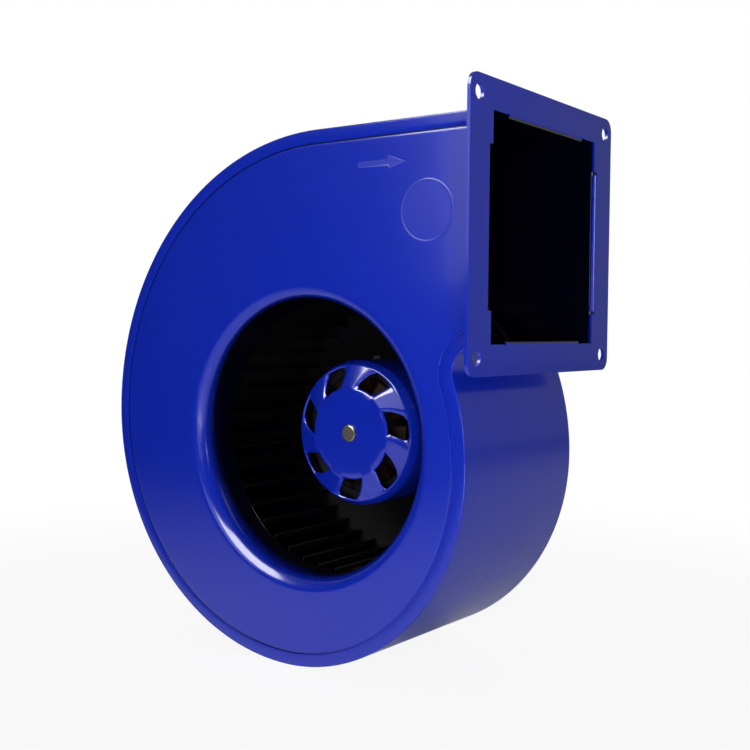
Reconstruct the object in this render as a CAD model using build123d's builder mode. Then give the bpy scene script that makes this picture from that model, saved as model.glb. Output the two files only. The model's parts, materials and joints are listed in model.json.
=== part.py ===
from build123d import *
import os
from math import atan2, degrees, radians, sin, cos, sqrt

# Single-inlet centrifugal blower with an external-rotor DC motor, in millimetres.
# The origin is the centre of the outlet flange's front face. +X points out of the outlet and
# +Z up. The fan axis runs along Y, and the inlet is on the -Y side.
# Depth is measured along +Y from the outer face of the inlet plate.

# Scroll casing
CASING_DEPTH = 89.5          # between the outer faces of the two side plates
CASING_SHEET = 1.0
SCROLL_STEP = 16.0           # side of the square on which the scroll's arc centres stand
SCROLL_RADIUS = 91.0         # arc from the right of the scroll to its bottom
CUTOFF_ARC = 110.0           # flatter arc from the right of the scroll up to the tongue
TONGUE_RADIUS = 10.0         # outside of the bend between the scroll and the duct's floor
DUCT_HEIGHT = 90.0           # outside, floor to roof
OUTLET_REACH = 93.0          # fan axis to the flange's front face
HEM_WIDTH = 5.6              # edge of the wrap folded over each side plate
HEM_ROUND = 1.6
SEAM_GAP = 0.6               # groove between the hem's edge and the raised panel
SEAT_GAP = 0.05              # between parts that are pushed together

# Inlet bellmouth
THROAT_RADIUS = 60.0
BELL_ROLL_WIDTH = 6.0        # from the throat out to where the plate starts to roll inwards
BELL_ROLL_DEPTH = 14.0
THROAT_LENGTH = 8.0          # straight part behind the roll

# Outlet flange
FLANGE_SHEET = 1.5
FLANGE_SIDE = 15.75          # past the casing's sides
FLANGE_RISE = 11.0           # past the duct's roof and floor
FLANGE_CORNER = 5.5
FLANGE_HOLE = 6.0
HOLE_EDGE_SIDE = 6.5         # hole's centre to the flange's side edge
HOLE_EDGE_END = 7.0          # hole's centre to the flange's upper or lower edge
TAB_REACH = 8.0              # tab's end to the flange's front face
SIDE_TAB_INSET = 15.0        # tab's ends to the duct's roof and floor
ROOF_TAB_INSET = 13.25       # tab's ends to the casing's sides
TAB_BEND = 0.4               # inside radius of the tabs' folds
RELIEF_WIDTH = 1.2           # slit at each end of a tab

# Motor mount on the rear plate
MOUNT_RADIUS = 42.0
MOUNT_THICKNESS = 4.0
SPIGOT_RADIUS = 22.0
SPIGOT_STAND = 0.5           # spigot past the rear plate's outer face
TUBE_RADIUS = 13.0
BOLT_CIRCLE = 64.0
BOLT_COUNT = 4
BOLT_START = 45.0            # first screw's angle from +X
SCREW_DIAMETER = 4.0
SCREW_CLEARANCE = 0.25
THREAD_GAP = 0.05
SCREW_LENGTH = 5.5
SCREW_HEAD_RADIUS = 4.0
SCREW_HEAD_HEIGHT = 2.6
RECESS_WIDTH = 1.0
RECESS_LENGTH = 4.4
RECESS_DEPTH = 1.4
WASHER_RADIUS = 3.8
WASHER_THICKNESS = 0.9
CAP_THICKNESS = 2.0          # plug behind the rear bearing

# Cable grommet in the rear plate
GROMMET_OFFSET = 32.0        # below the fan axis
GROMMET_RADIUS = 6.5
GROMMET_NECK = 5.0
GROMMET_BORE = 3.0
GROMMET_LIP = 2.0            # each lip's thickness
GROMMET_ROUND = 0.8

# Shaft and ball bearings
SHAFT_RADIUS = 4.0
SHAFT_STAND = 1.0            # shaft past the rotor's flat centre
SHAFT_TAIL = 3.0             # shaft past the rear bearing
SHAFT_CHAMFER = 0.5
FIT_GAP = 0.01               # pressed and sliding seats on the shaft and in the tube
BEARING_RADIUS = 11.0
BEARING_WIDTH = 7.0
BEARING_PITCH = 28.5         # front face of the front bearing to that of the rear one
BALL_RADIUS = 1.98
BALL_COUNT = 7
BALL_GAP = 0.04
RACE_LAND = 1.35             # ball circle to the edge of each race
SHIELD_THICKNESS = 0.3
SHIELD_INSET = 0.2
SHIELD_GAP = 0.3
TUBE_BORE = 9.5
SPRING_THICKNESS = 0.4
SPRING_RISE = 0.6
SPRING_INNER = 9.7
CLIP_THICKNESS = 0.8
CLIP_RADIUS = 6.2
CLIP_GROOVE = 0.4            # depth of the groove in the shaft
CLIP_OPENING = 4.0

# Rotor bell
ROTOR_RADIUS = 33.5
ROTOR_WALL = 1.8
MOTOR_LENGTH = 50.0          # rotor's flat centre to the front face of the motor mount's flange
FLAT_RADIUS = 20.8
CONE_RADIUS = 31.5
CONE_DROP = 3.3              # from the flat centre to the outer edge of the cone
SHOULDER_DROP = 7.0          # from the flat centre to where the straight wall starts
FLAT_ROUND = 6.0
SHOULDER_ROUND = 3.6
COLLAR_WALL = 2.2
VENT_COUNT = 7
VENT_INNER = 21.2
VENT_OUTER = 30.2
VENT_INNER_START = 54.0      # the first slot's corner angles, anticlockwise from +X, seen from the inlet
VENT_INNER_END = 82.0
VENT_OUTER_START = 47.0
VENT_OUTER_END = 68.0
VENT_ROUND = 1.0
MAGNET_COUNT = 8
MAGNET_THICKNESS = 3.4
MAGNET_GAP = 0.8             # between neighbouring magnets
MAGNET_OVERHANG = 1.0        # past each end of the stator core

# Stator
CORE_DROP = 12.5             # rotor's flat centre to the core's front face
CORE_LENGTH = 22.0
AIR_GAP = 0.6
TOOTH_COUNT = 12
CORE_RING = 4.5              # radial wall round the tube
TOOTH_WIDTH = 4.0
TIP_HEIGHT = 2.0
TIP_OPENING = 2.4            # slot opening between neighbouring tips
INSULATOR_THICKNESS = 1.0
COIL_GAP = 0.4
COIL_THICKNESS = 1.9
COIL_RADIAL_GAP = 0.5
COIL_END = 3.0

# Circuit board
BOARD_RADIUS = 28.5
BOARD_THICKNESS = 1.6
BOARD_BEHIND_COIL = 2.5
BOARD_TUBE_GAP = 0.4
POST_RADIUS = 2.2
POST_OFFSET = 21.0
POST_COUNT = 3
POST_START = 90.0
CAPACITOR_RADIUS = 3.2
CAPACITOR_HEIGHT = 5.5
CAPACITOR_COUNT = 2
TRANSISTOR_SIZE = (5.0, 4.5, 1.6)
TRANSISTOR_COUNT = 6
HALL_SIZE = (3.0, 2.0, 1.2)
HALL_COUNT = 3
CONNECTOR_SIZE = (9.0, 4.0, 4.5)

# Impeller wheel
WHEEL_RADIUS = 70.0
BLADE_HEIGHT = 9.7           # radial, without the outer corner's thickness
BLADE_GAP = 0.3              # outer corner of a blade's leading face to the wheel's rim
BLADE_COUNT = 40
BLADE_SHEET = 0.6
BLADE_SWEEP = 5.0            # how far round a blade's outer edge leads its inner edge, in degrees
BLADE_BULGE = 2.4
WHEEL_GAP = 2.0              # bellmouth's lip to the front ring
RING_SHEET = 0.8
RING_WIDTH = 5.0
RING_SKIRT = 5.0
DISC_SHEET = 1.0
RIM_SHEET = 1.5              # flange round the bell's open end
RIM_WIDTH = 6.0
RIM_GAP = 1.5                # rim's rear face to the motor mount's flange
RIVET_COUNT = 6
RIVET_RADIUS = 1.5
RIVET_HEAD_RADIUS = 2.6
RIVET_HEAD_HEIGHT = 0.8

# Values worked out from the driving dimensions
HALF_STEP = SCROLL_STEP / 2
SCROLL_TOP = HALF_STEP + SCROLL_RADIUS + 2 * SCROLL_STEP
OUTLET_RISE = SCROLL_TOP - DUCT_HEIGHT / 2
DUCT_END = OUTLET_REACH - FLANGE_SHEET - TAB_BEND
INLET_Y = -CASING_DEPTH / 2
FAN_AXIS = Axis((-OUTLET_REACH, INLET_Y, -OUTLET_RISE), (0, 1, 0))
BELL_RADIUS = THROAT_RADIUS + BELL_ROLL_WIDTH
BELL_DEPTH = BELL_ROLL_DEPTH + THROAT_LENGTH
FLANGE_WIDTH = CASING_DEPTH + 2 * FLANGE_SIDE
FLANGE_HEIGHT = DUCT_HEIGHT + 2 * FLANGE_RISE
FLANGE_HOLES_Y = FLANGE_WIDTH - 2 * HOLE_EDGE_SIDE
FLANGE_HOLES_Z = FLANGE_HEIGHT - 2 * HOLE_EDGE_END
SIDE_TAB_LENGTH = DUCT_HEIGHT - 2 * SIDE_TAB_INSET
ROOF_TAB_LENGTH = CASING_DEPTH - 2 * ROOF_TAB_INSET
BOLT_RADIUS = BOLT_CIRCLE / 2
REAR_INSIDE = CASING_DEPTH - CASING_SHEET
MOUNT_FACE = REAR_INSIDE - MOUNT_THICKNESS
ROTOR_FACE = MOUNT_FACE - MOTOR_LENGTH
FRONT_BEARING = ROTOR_FACE + SHOULDER_DROP
REAR_BEARING = FRONT_BEARING + BEARING_PITCH
SPRING_SEAT = FRONT_BEARING + BEARING_WIDTH + SPRING_THICKNESS + SPRING_RISE
CLIP_FACE = REAR_BEARING + BEARING_WIDTH
SHAFT_END = CLIP_FACE + SHAFT_TAIL
BALL_CIRCLE = (SHAFT_RADIUS + BEARING_RADIUS) / 2
BELL_INSIDE = ROTOR_RADIUS - ROTOR_WALL
MAGNET_OUTER = BELL_INSIDE - SEAT_GAP
MAGNET_INNER = MAGNET_OUTER - MAGNET_THICKNESS
CORE_RADIUS = MAGNET_INNER - AIR_GAP
CORE_BORE = TUBE_RADIUS + SEAT_GAP
CORE_RING_RADIUS = CORE_BORE + CORE_RING
TIP_RADIUS = CORE_RADIUS - TIP_HEIGHT
STATOR_FRONT = ROTOR_FACE + CORE_DROP
STATOR_REAR = STATOR_FRONT + CORE_LENGTH
COIL_REAR = STATOR_REAR + INSULATOR_THICKNESS + COIL_END
BOARD_FACE = COIL_REAR + BOARD_BEHIND_COIL
BOARD_REAR = BOARD_FACE + BOARD_THICKNESS
TRANSISTOR_PITCH = 360 / TRANSISTOR_COUNT
WHEEL_FRONT = BELL_DEPTH + WHEEL_GAP
BLADE_OUTER = WHEEL_RADIUS - BLADE_GAP
BLADE_INNER = BLADE_OUTER - BLADE_HEIGHT
RING_INNER = WHEEL_RADIUS - RING_WIDTH
RIM_REAR = MOUNT_FACE - RIM_GAP
DISC_REAR = RIM_REAR - RIM_SHEET
DISC_FACE = DISC_REAR - DISC_SHEET
RIM_RADIUS = ROTOR_RADIUS + RIM_WIDTH
RIVET_CIRCLE = (ROTOR_RADIUS + RIM_RADIUS) / 2


# Planes and shared outlines

def seen_from_inlet(depth):
    """Plane across the fan axis at a depth, drawn as seen from the inlet: x is +X, y is +Z."""
    return Plane(origin=(-OUTLET_REACH, INLET_Y + depth, -OUTLET_RISE), x_dir=(1, 0, 0), z_dir=(0, -1, 0))


def along_axis():
    """Plane through the fan axis for turned profiles: x is the radius, y is the depth."""
    return Plane(origin=(-OUTLET_REACH, INLET_Y, -OUTLET_RISE), x_dir=(1, 0, 0), z_dir=(0, 0, 1))


def casing_face(inset):
    """Outline of the scroll and duct, moved inwards by inset everywhere but at the outlet."""
    roof = SCROLL_TOP - inset
    floor = SCROLL_TOP - DUCT_HEIGHT + inset
    cutoff = (SCROLL_RADIUS - HALF_STEP - CUTOFF_ARC, -HALF_STEP)
    tongue_z = SCROLL_TOP - DUCT_HEIGHT - TONGUE_RADIUS
    rise = tongue_z - cutoff[1]
    run = sqrt((CUTOFF_ARC + TONGUE_RADIUS) ** 2 - rise ** 2)
    tongue = (cutoff[0] + run, tongue_z)
    turn = degrees(atan2(rise, run))
    with BuildSketch() as face:
        with BuildLine():
            Line((DUCT_END, roof), (HALF_STEP, roof))
            CenterArc((HALF_STEP, HALF_STEP), SCROLL_RADIUS + 2 * SCROLL_STEP - inset, 90, 90)
            CenterArc((-HALF_STEP, HALF_STEP), SCROLL_RADIUS + SCROLL_STEP - inset, 180, 90)
            CenterArc((-HALF_STEP, -HALF_STEP), SCROLL_RADIUS - inset, 270, 90)
            CenterArc(cutoff, CUTOFF_ARC - inset, 0, turn)
            CenterArc(tongue, TONGUE_RADIUS + inset, 180 + turn, -90 - turn)
            Line((tongue[0], floor), (DUCT_END, floor))
            Line((DUCT_END, floor), (DUCT_END, roof))
        make_face()
    return face.sketch


def turned(outline):
    """Adds the body of revolution whose half section, as (radius, depth) points, is outline."""
    with BuildSketch(along_axis()) as section:
        with BuildLine():
            Polyline(*outline, close=True)
        make_face()
    revolve(section.sketch, axis=FAN_AXIS)


def round_corner(point, radius):
    """Rounds the corner of the open sketch that is nearest to a point."""
    fillet(vertices().sort_by_distance(point)[0], radius)


def ring_face(outer, inner):
    """Flat ring about the fan axis."""
    with BuildSketch() as face:
        Circle(outer)
        Circle(inner, mode=Mode.SUBTRACT)
    return face.sketch


# Scroll casing

with BuildPart() as scroll_wrap:
    with BuildSketch(seen_from_inlet(0)):
        add(casing_face(0))
    extrude(amount=-CASING_DEPTH)
    side_faces = faces().filter_by(Axis.Y)
    rim_edges = side_faces.edges().filter_by(lambda edge: edge.center().X < -FLANGE_SHEET - HEM_ROUND)
    fillet(rim_edges, HEM_ROUND)
    with BuildSketch(seen_from_inlet(CASING_SHEET)):
        add(casing_face(CASING_SHEET))
    extrude(amount=-(CASING_DEPTH - 2 * CASING_SHEET), mode=Mode.SUBTRACT)
    with BuildSketch(seen_from_inlet(0)):
        add(casing_face(HEM_WIDTH))
    extrude(amount=-CASING_DEPTH, mode=Mode.SUBTRACT)


def side_panel(panel_depth, rim_depth):
    """Raised panel inside the hem, with its rim stepped down behind the hem."""
    panel_inset = HEM_WIDTH + SEAM_GAP
    with BuildSketch(seen_from_inlet(panel_depth)) as panel:
        add(casing_face(panel_inset))
    extrude(panel.sketch, amount=-CASING_SHEET)
    with BuildSketch(seen_from_inlet(rim_depth)) as rim:
        add(casing_face(CASING_SHEET + SEAT_GAP))
        add(casing_face(panel_inset + CASING_SHEET), mode=Mode.SUBTRACT)
    extrude(rim.sketch, amount=-CASING_SHEET)


with BuildPart() as inlet_plate:
    side_panel(0, CASING_SHEET)
    with BuildSketch(seen_from_inlet(0)):
        Circle(BELL_RADIUS)
    extrude(amount=-CASING_SHEET, mode=Mode.SUBTRACT)
    with BuildSketch(along_axis()):
        with BuildLine():
            roll_centre = (BELL_RADIUS, BELL_ROLL_DEPTH)
            EllipticalCenterArc(roll_centre, BELL_ROLL_WIDTH, BELL_ROLL_DEPTH, 180, arc_size=90)
            Line((THROAT_RADIUS, BELL_ROLL_DEPTH), (THROAT_RADIUS, BELL_DEPTH))
            Line((THROAT_RADIUS, BELL_DEPTH), (THROAT_RADIUS + CASING_SHEET, BELL_DEPTH))
            Line((THROAT_RADIUS + CASING_SHEET, BELL_DEPTH), (THROAT_RADIUS + CASING_SHEET, BELL_ROLL_DEPTH))
            EllipticalCenterArc(
                roll_centre, BELL_ROLL_WIDTH - CASING_SHEET, BELL_ROLL_DEPTH - CASING_SHEET, 180, arc_size=90)
            Line((BELL_RADIUS, CASING_SHEET), (BELL_RADIUS, 0))
        make_face()
    revolve(axis=FAN_AXIS)

with BuildPart() as rear_plate:
    side_panel(REAR_INSIDE, REAR_INSIDE - CASING_SHEET)
    with BuildSketch(seen_from_inlet(REAR_INSIDE)):
        Circle(SPIGOT_RADIUS + SEAT_GAP)
        with PolarLocations(BOLT_RADIUS, BOLT_COUNT, start_angle=BOLT_START):
            Circle(SCREW_DIAMETER / 2 + SCREW_CLEARANCE)
        with Locations((0, -GROMMET_OFFSET)):
            Circle(GROMMET_NECK + SEAT_GAP)
    extrude(amount=-CASING_SHEET, mode=Mode.SUBTRACT)


# Outlet flange

OUTSIDE_Y = CASING_DEPTH / 2
INSIDE_Y = OUTSIDE_Y - CASING_SHEET
INSIDE_Z = DUCT_HEIGHT / 2 - CASING_SHEET


def tab(plane, length):
    """Tab folded back from the flange: plane's x points away from the duct, y along the flange's front."""
    fold = TAB_BEND + FLANGE_SHEET
    with BuildSketch(plane) as section:
        with BuildLine():
            Line((0, -fold), (0, -TAB_REACH))
            Line((0, -TAB_REACH), (FLANGE_SHEET, -TAB_REACH))
            Line((FLANGE_SHEET, -TAB_REACH), (FLANGE_SHEET, -fold))
            CenterArc((fold, -fold), TAB_BEND, 180, -90)
            Line((fold, -FLANGE_SHEET), (fold, 0))
            CenterArc((fold, -fold), fold, 90, 90)
        make_face()
    extrude(section.sketch, amount=length / 2, both=True)


with BuildPart() as outlet_flange:
    fold_width = TAB_BEND + FLANGE_SHEET
    with BuildSketch(Plane.YZ):
        RectangleRounded(FLANGE_WIDTH, FLANGE_HEIGHT, FLANGE_CORNER)
        Rectangle(2 * INSIDE_Y, 2 * INSIDE_Z, mode=Mode.SUBTRACT)
        side_cut = 2 * (OUTSIDE_Y + fold_width)
        roof_cut = 2 * (INSIDE_Z - FLANGE_SHEET + fold_width)
        Rectangle(side_cut, SIDE_TAB_LENGTH + 2 * RELIEF_WIDTH, mode=Mode.SUBTRACT)
        Rectangle(ROOF_TAB_LENGTH + 2 * RELIEF_WIDTH, roof_cut, mode=Mode.SUBTRACT)
        with GridLocations(FLANGE_HOLES_Y, FLANGE_HOLES_Z, 2, 2):
            Circle(FLANGE_HOLE / 2, mode=Mode.SUBTRACT)
    extrude(amount=-FLANGE_SHEET)
    for side in (-1, 1):
        tab(Plane(origin=(0, side * OUTSIDE_Y, 0), x_dir=(0, side, 0), z_dir=(0, 0, -side)), SIDE_TAB_LENGTH)
        roof_tab = INSIDE_Z - FLANGE_SHEET
        tab(Plane(origin=(0, 0, side * roof_tab), x_dir=(0, 0, side), z_dir=(0, side, 0)), ROOF_TAB_LENGTH)


# Motor mount

with BuildPart() as motor_mount:
    spigot_end = CASING_DEPTH + SPIGOT_STAND
    seat = BEARING_RADIUS + FIT_GAP
    turned([
        (seat, FRONT_BEARING), (TUBE_RADIUS, FRONT_BEARING), (TUBE_RADIUS, MOUNT_FACE),
        (MOUNT_RADIUS, MOUNT_FACE), (MOUNT_RADIUS, REAR_INSIDE), (SPIGOT_RADIUS, REAR_INSIDE),
        (SPIGOT_RADIUS, spigot_end), (seat, spigot_end), (seat, REAR_BEARING),
        (TUBE_BORE, REAR_BEARING), (TUBE_BORE, SPRING_SEAT), (seat, SPRING_SEAT)])
    with BuildSketch(seen_from_inlet(BOARD_REAR)):
        with PolarLocations(POST_OFFSET, POST_COUNT, start_angle=POST_START):
            Circle(POST_RADIUS)
    extrude(amount=-(MOUNT_FACE - BOARD_REAR))
    with BuildSketch(seen_from_inlet(MOUNT_FACE)):
        with PolarLocations(BOLT_RADIUS, BOLT_COUNT, start_angle=BOLT_START):
            Circle(SCREW_DIAMETER / 2 + THREAD_GAP)
        with Locations((0, -GROMMET_OFFSET)):
            Circle(GROMMET_BORE)
    extrude(amount=-MOUNT_THICKNESS, mode=Mode.SUBTRACT)
    with BuildSketch(seen_from_inlet(REAR_INSIDE - GROMMET_LIP)):
        with Locations((0, -GROMMET_OFFSET)):
            Circle(GROMMET_RADIUS + SEAT_GAP)
    extrude(amount=-GROMMET_LIP, mode=Mode.SUBTRACT)

with BuildPart() as bearing_cap:
    with BuildSketch(seen_from_inlet(spigot_end - CAP_THICKNESS)):
        Circle(BEARING_RADIUS)
    extrude(amount=-CAP_THICKNESS)

with BuildPart() as lock_washers:
    with BuildSketch(seen_from_inlet(CASING_DEPTH)):
        with PolarLocations(BOLT_RADIUS, BOLT_COUNT, start_angle=BOLT_START):
            Circle(WASHER_RADIUS)
            Circle(SCREW_DIAMETER / 2 + SCREW_CLEARANCE, mode=Mode.SUBTRACT)
    extrude(amount=-WASHER_THICKNESS)

with BuildPart() as motor_screws:
    head_seat = CASING_DEPTH + WASHER_THICKNESS
    head_end = head_seat + SCREW_HEAD_HEIGHT
    with BuildSketch(seen_from_inlet(head_seat)):
        with PolarLocations(BOLT_RADIUS, BOLT_COUNT, start_angle=BOLT_START):
            Circle(SCREW_HEAD_RADIUS)
    extrude(amount=-SCREW_HEAD_HEIGHT)
    fillet(edges().group_by(Axis.Y)[-1], SCREW_HEAD_HEIGHT / 2)
    with BuildSketch(seen_from_inlet(head_seat - SCREW_LENGTH)):
        with PolarLocations(BOLT_RADIUS, BOLT_COUNT, start_angle=BOLT_START):
            Circle(SCREW_DIAMETER / 2)
    extrude(amount=-SCREW_LENGTH)
    with BuildSketch(seen_from_inlet(head_end - RECESS_DEPTH)):
        with PolarLocations(BOLT_RADIUS, BOLT_COUNT, start_angle=BOLT_START):
            Rectangle(RECESS_LENGTH, RECESS_WIDTH)
            Rectangle(RECESS_WIDTH, RECESS_LENGTH)
    extrude(amount=-RECESS_DEPTH, mode=Mode.SUBTRACT)

with BuildPart() as cable_grommet:
    lip_front = REAR_INSIDE - GROMMET_LIP
    with BuildSketch(seen_from_inlet(lip_front)):
        with Locations((0, -GROMMET_OFFSET)):
            Circle(GROMMET_NECK)
    extrude(amount=-(CASING_SHEET + 2 * GROMMET_LIP))
    for lip_depth in (lip_front, CASING_DEPTH):
        with BuildSketch(seen_from_inlet(lip_depth)):
            with Locations((0, -GROMMET_OFFSET)):
                Circle(GROMMET_RADIUS)
        extrude(amount=-GROMMET_LIP)
    fillet(edges().group_by(Axis.Y)[-1], GROMMET_ROUND)
    with BuildSketch(seen_from_inlet(lip_front)):
        with Locations((0, -GROMMET_OFFSET)):
            Circle(GROMMET_BORE)
    extrude(amount=-(CASING_SHEET + 2 * GROMMET_LIP), mode=Mode.SUBTRACT)


# Ball bearings, each as races, balls and shields

def race(inner, outer, depth):
    """Race with a groove for the balls on whichever side faces the ball circle."""
    turned([(inner, depth), (outer, depth), (outer, depth + BEARING_WIDTH), (inner, depth + BEARING_WIDTH)])
    with BuildSketch(along_axis()) as groove:
        with Locations((BALL_CIRCLE, depth + BEARING_WIDTH / 2)):
            Circle(BALL_RADIUS + BALL_GAP)
    revolve(groove.sketch, axis=FAN_AXIS, mode=Mode.SUBTRACT)


def inner_race(depth):
    """Race that turns with the shaft."""
    with BuildPart() as piece:
        race(SHAFT_RADIUS + FIT_GAP, BALL_CIRCLE - RACE_LAND, depth)
    return piece


def outer_race(depth):
    """Race that stands in the tube."""
    with BuildPart() as piece:
        race(BALL_CIRCLE + RACE_LAND, BEARING_RADIUS, depth)
    return piece


def shields(depth):
    """Thin ring at each side of a bearing, held in the outer race."""
    with BuildPart() as piece:
        for front in (depth + SHIELD_INSET, depth + BEARING_WIDTH - SHIELD_INSET - SHIELD_THICKNESS):
            with BuildSketch(seen_from_inlet(front)):
                add(ring_face(BALL_CIRCLE + RACE_LAND - FIT_GAP, BALL_CIRCLE - RACE_LAND + SHIELD_GAP))
            extrude(amount=-SHIELD_THICKNESS)
    return piece


def balls(depth):
    """Ring of balls halfway across a bearing."""
    with BuildPart() as piece:
        with Locations(seen_from_inlet(depth + BEARING_WIDTH / 2)):
            with PolarLocations(BALL_CIRCLE, BALL_COUNT):
                Sphere(BALL_RADIUS)
    return piece


with BuildPart() as preload_spring:
    spring_front = FRONT_BEARING + BEARING_WIDTH
    turned([
        (BEARING_RADIUS, spring_front), (BEARING_RADIUS, spring_front + SPRING_THICKNESS),
        (SPRING_INNER, SPRING_SEAT), (SPRING_INNER, SPRING_SEAT - SPRING_THICKNESS)])

with BuildPart() as shaft:
    shaft_front = ROTOR_FACE - SHAFT_STAND
    with BuildSketch(seen_from_inlet(shaft_front)):
        Circle(SHAFT_RADIUS)
    extrude(amount=-(SHAFT_END - shaft_front))
    chamfer(edges(), SHAFT_CHAMFER)
    with BuildSketch(seen_from_inlet(CLIP_FACE)):
        add(ring_face(SHAFT_RADIUS, SHAFT_RADIUS - CLIP_GROOVE))
    extrude(amount=-(CLIP_THICKNESS + SEAT_GAP), mode=Mode.SUBTRACT)

with BuildPart() as retaining_ring:
    with BuildSketch(seen_from_inlet(CLIP_FACE)):
        add(ring_face(CLIP_RADIUS, SHAFT_RADIUS - CLIP_GROOVE + SEAT_GAP))
        with Locations((0, CLIP_RADIUS)):
            Rectangle(CLIP_OPENING, 2 * CLIP_RADIUS, mode=Mode.SUBTRACT)
    extrude(amount=-CLIP_THICKNESS)


# Rotor

def polar(radius, angle):
    """Point at a radius and an angle in degrees."""
    return (radius * cos(radians(angle)), radius * sin(radians(angle)))


def vent_face():
    """First cooling slot of the rotor, swept forwards, as seen from the inlet."""
    corners = [
        polar(VENT_INNER, VENT_INNER_START), polar(VENT_OUTER, VENT_OUTER_START),
        polar(VENT_OUTER, VENT_OUTER_END), polar(VENT_INNER, VENT_INNER_END)]
    with BuildSketch() as face:
        with BuildLine():
            Line(corners[0], corners[1])
            RadiusArc(corners[1], corners[2], -VENT_OUTER)
            Line(corners[2], corners[3])
            RadiusArc(corners[3], corners[0], VENT_INNER)
        make_face()
        fillet(vertices(), VENT_ROUND)
    return face.sketch


with BuildPart() as rotor_bell:
    collar = SHAFT_RADIUS + COLLAR_WALL
    cone_edge = ROTOR_FACE + CONE_DROP
    wall_top = ROTOR_FACE + SHOULDER_DROP
    with BuildSketch(along_axis()):
        with BuildLine():
            Polyline(
                (SHAFT_RADIUS + FIT_GAP, FRONT_BEARING), (SHAFT_RADIUS + FIT_GAP, ROTOR_FACE),
                (FLAT_RADIUS, ROTOR_FACE), (CONE_RADIUS, cone_edge), (ROTOR_RADIUS, wall_top),
                (ROTOR_RADIUS, DISC_REAR), (RIM_RADIUS, DISC_REAR), (RIM_RADIUS, RIM_REAR),
                (BELL_INSIDE, RIM_REAR), (BELL_INSIDE, wall_top),
                (CONE_RADIUS - ROTOR_WALL, cone_edge + ROTOR_WALL), (FLAT_RADIUS, ROTOR_FACE + ROTOR_WALL),
                (collar, ROTOR_FACE + ROTOR_WALL), (collar, FRONT_BEARING), close=True)
        make_face()
        round_corner((FLAT_RADIUS, ROTOR_FACE), FLAT_ROUND)
        round_corner((CONE_RADIUS, cone_edge), SHOULDER_ROUND)
        round_corner((ROTOR_RADIUS, wall_top), SHOULDER_ROUND)
        round_corner((FLAT_RADIUS, ROTOR_FACE + ROTOR_WALL), FLAT_ROUND - ROTOR_WALL)
        round_corner((CONE_RADIUS - ROTOR_WALL, cone_edge + ROTOR_WALL), SHOULDER_ROUND - ROTOR_WALL)
        round_corner((BELL_INSIDE, wall_top), SHOULDER_ROUND - ROTOR_WALL)
    revolve(axis=FAN_AXIS)
    with BuildSketch(seen_from_inlet(ROTOR_FACE)):
        with PolarLocations(0, VENT_COUNT):
            add(vent_face())
    extrude(amount=-(SHOULDER_DROP + ROTOR_WALL), mode=Mode.SUBTRACT)
    with BuildSketch(seen_from_inlet(DISC_REAR)):
        with PolarLocations(RIVET_CIRCLE, RIVET_COUNT):
            Circle(RIVET_RADIUS + SEAT_GAP)
    extrude(amount=-RIM_SHEET, mode=Mode.SUBTRACT)

with BuildPart() as rotor_magnets:
    with BuildSketch(seen_from_inlet(STATOR_FRONT - MAGNET_OVERHANG)):
        add(ring_face(MAGNET_OUTER, MAGNET_INNER))
        with PolarLocations((MAGNET_OUTER + MAGNET_INNER) / 2, MAGNET_COUNT):
            Rectangle(2 * MAGNET_THICKNESS, MAGNET_GAP, mode=Mode.SUBTRACT)
    extrude(amount=-(CORE_LENGTH + 2 * MAGNET_OVERHANG))


# Stator

def core_face():
    """Lamination with T-shaped teeth."""
    tooth_inner = CORE_BORE + CORE_RING / 2
    with BuildSketch() as face:
        Circle(CORE_RADIUS)
        Circle(TIP_RADIUS, mode=Mode.SUBTRACT)
        with PolarLocations(CORE_RADIUS, TOOTH_COUNT, start_angle=180 / TOOTH_COUNT):
            Rectangle(2 * TIP_HEIGHT + TIP_OPENING, TIP_OPENING, mode=Mode.SUBTRACT)
        with PolarLocations((tooth_inner + TIP_RADIUS) / 2, TOOTH_COUNT):
            Rectangle(TIP_RADIUS - tooth_inner + TIP_HEIGHT, TOOTH_WIDTH)
        Circle(CORE_RING_RADIUS)
        Circle(CORE_BORE, mode=Mode.SUBTRACT)
    return face.sketch


with BuildPart() as stator_core:
    with BuildSketch(seen_from_inlet(STATOR_FRONT)):
        add(core_face())
    extrude(amount=-CORE_LENGTH)


def insulator(depth):
    """End plate of the stator, the shape of a lamination."""
    with BuildPart() as piece:
        with BuildSketch(seen_from_inlet(depth)):
            add(core_face())
        extrude(amount=-INSULATOR_THICKNESS)
    return piece


with BuildPart() as stator_windings:
    coil_inner = CORE_RING_RADIUS + COIL_RADIAL_GAP
    coil_outer = TIP_RADIUS - COIL_RADIAL_GAP
    coil_hole = (TOOTH_WIDTH + 2 * COIL_GAP, CORE_LENGTH + 2 * INSULATOR_THICKNESS)
    coil_size = (coil_hole[0] + 2 * COIL_THICKNESS, coil_hole[1] + 2 * COIL_END)
    stator_middle = seen_from_inlet(STATOR_FRONT + CORE_LENGTH / 2)
    for number in range(TOOTH_COUNT):
        outward_x, outward_z = polar(1, number * 360 / TOOTH_COUNT)
        outward = Vector(outward_x, 0, outward_z)
        across = Vector(-outward_z, 0, outward_x)
        coil_start = stator_middle.origin + outward * coil_inner
        with BuildSketch(Plane(origin=coil_start, x_dir=across, z_dir=outward)):
            RectangleRounded(*coil_size, COIL_THICKNESS)
            Rectangle(*coil_hole, mode=Mode.SUBTRACT)
        extrude(amount=coil_outer - coil_inner)


# Circuit board

with BuildPart() as circuit_board:
    with BuildSketch(seen_from_inlet(BOARD_FACE)):
        add(ring_face(BOARD_RADIUS, TUBE_RADIUS + BOARD_TUBE_GAP))
    extrude(amount=-BOARD_THICKNESS)

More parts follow.
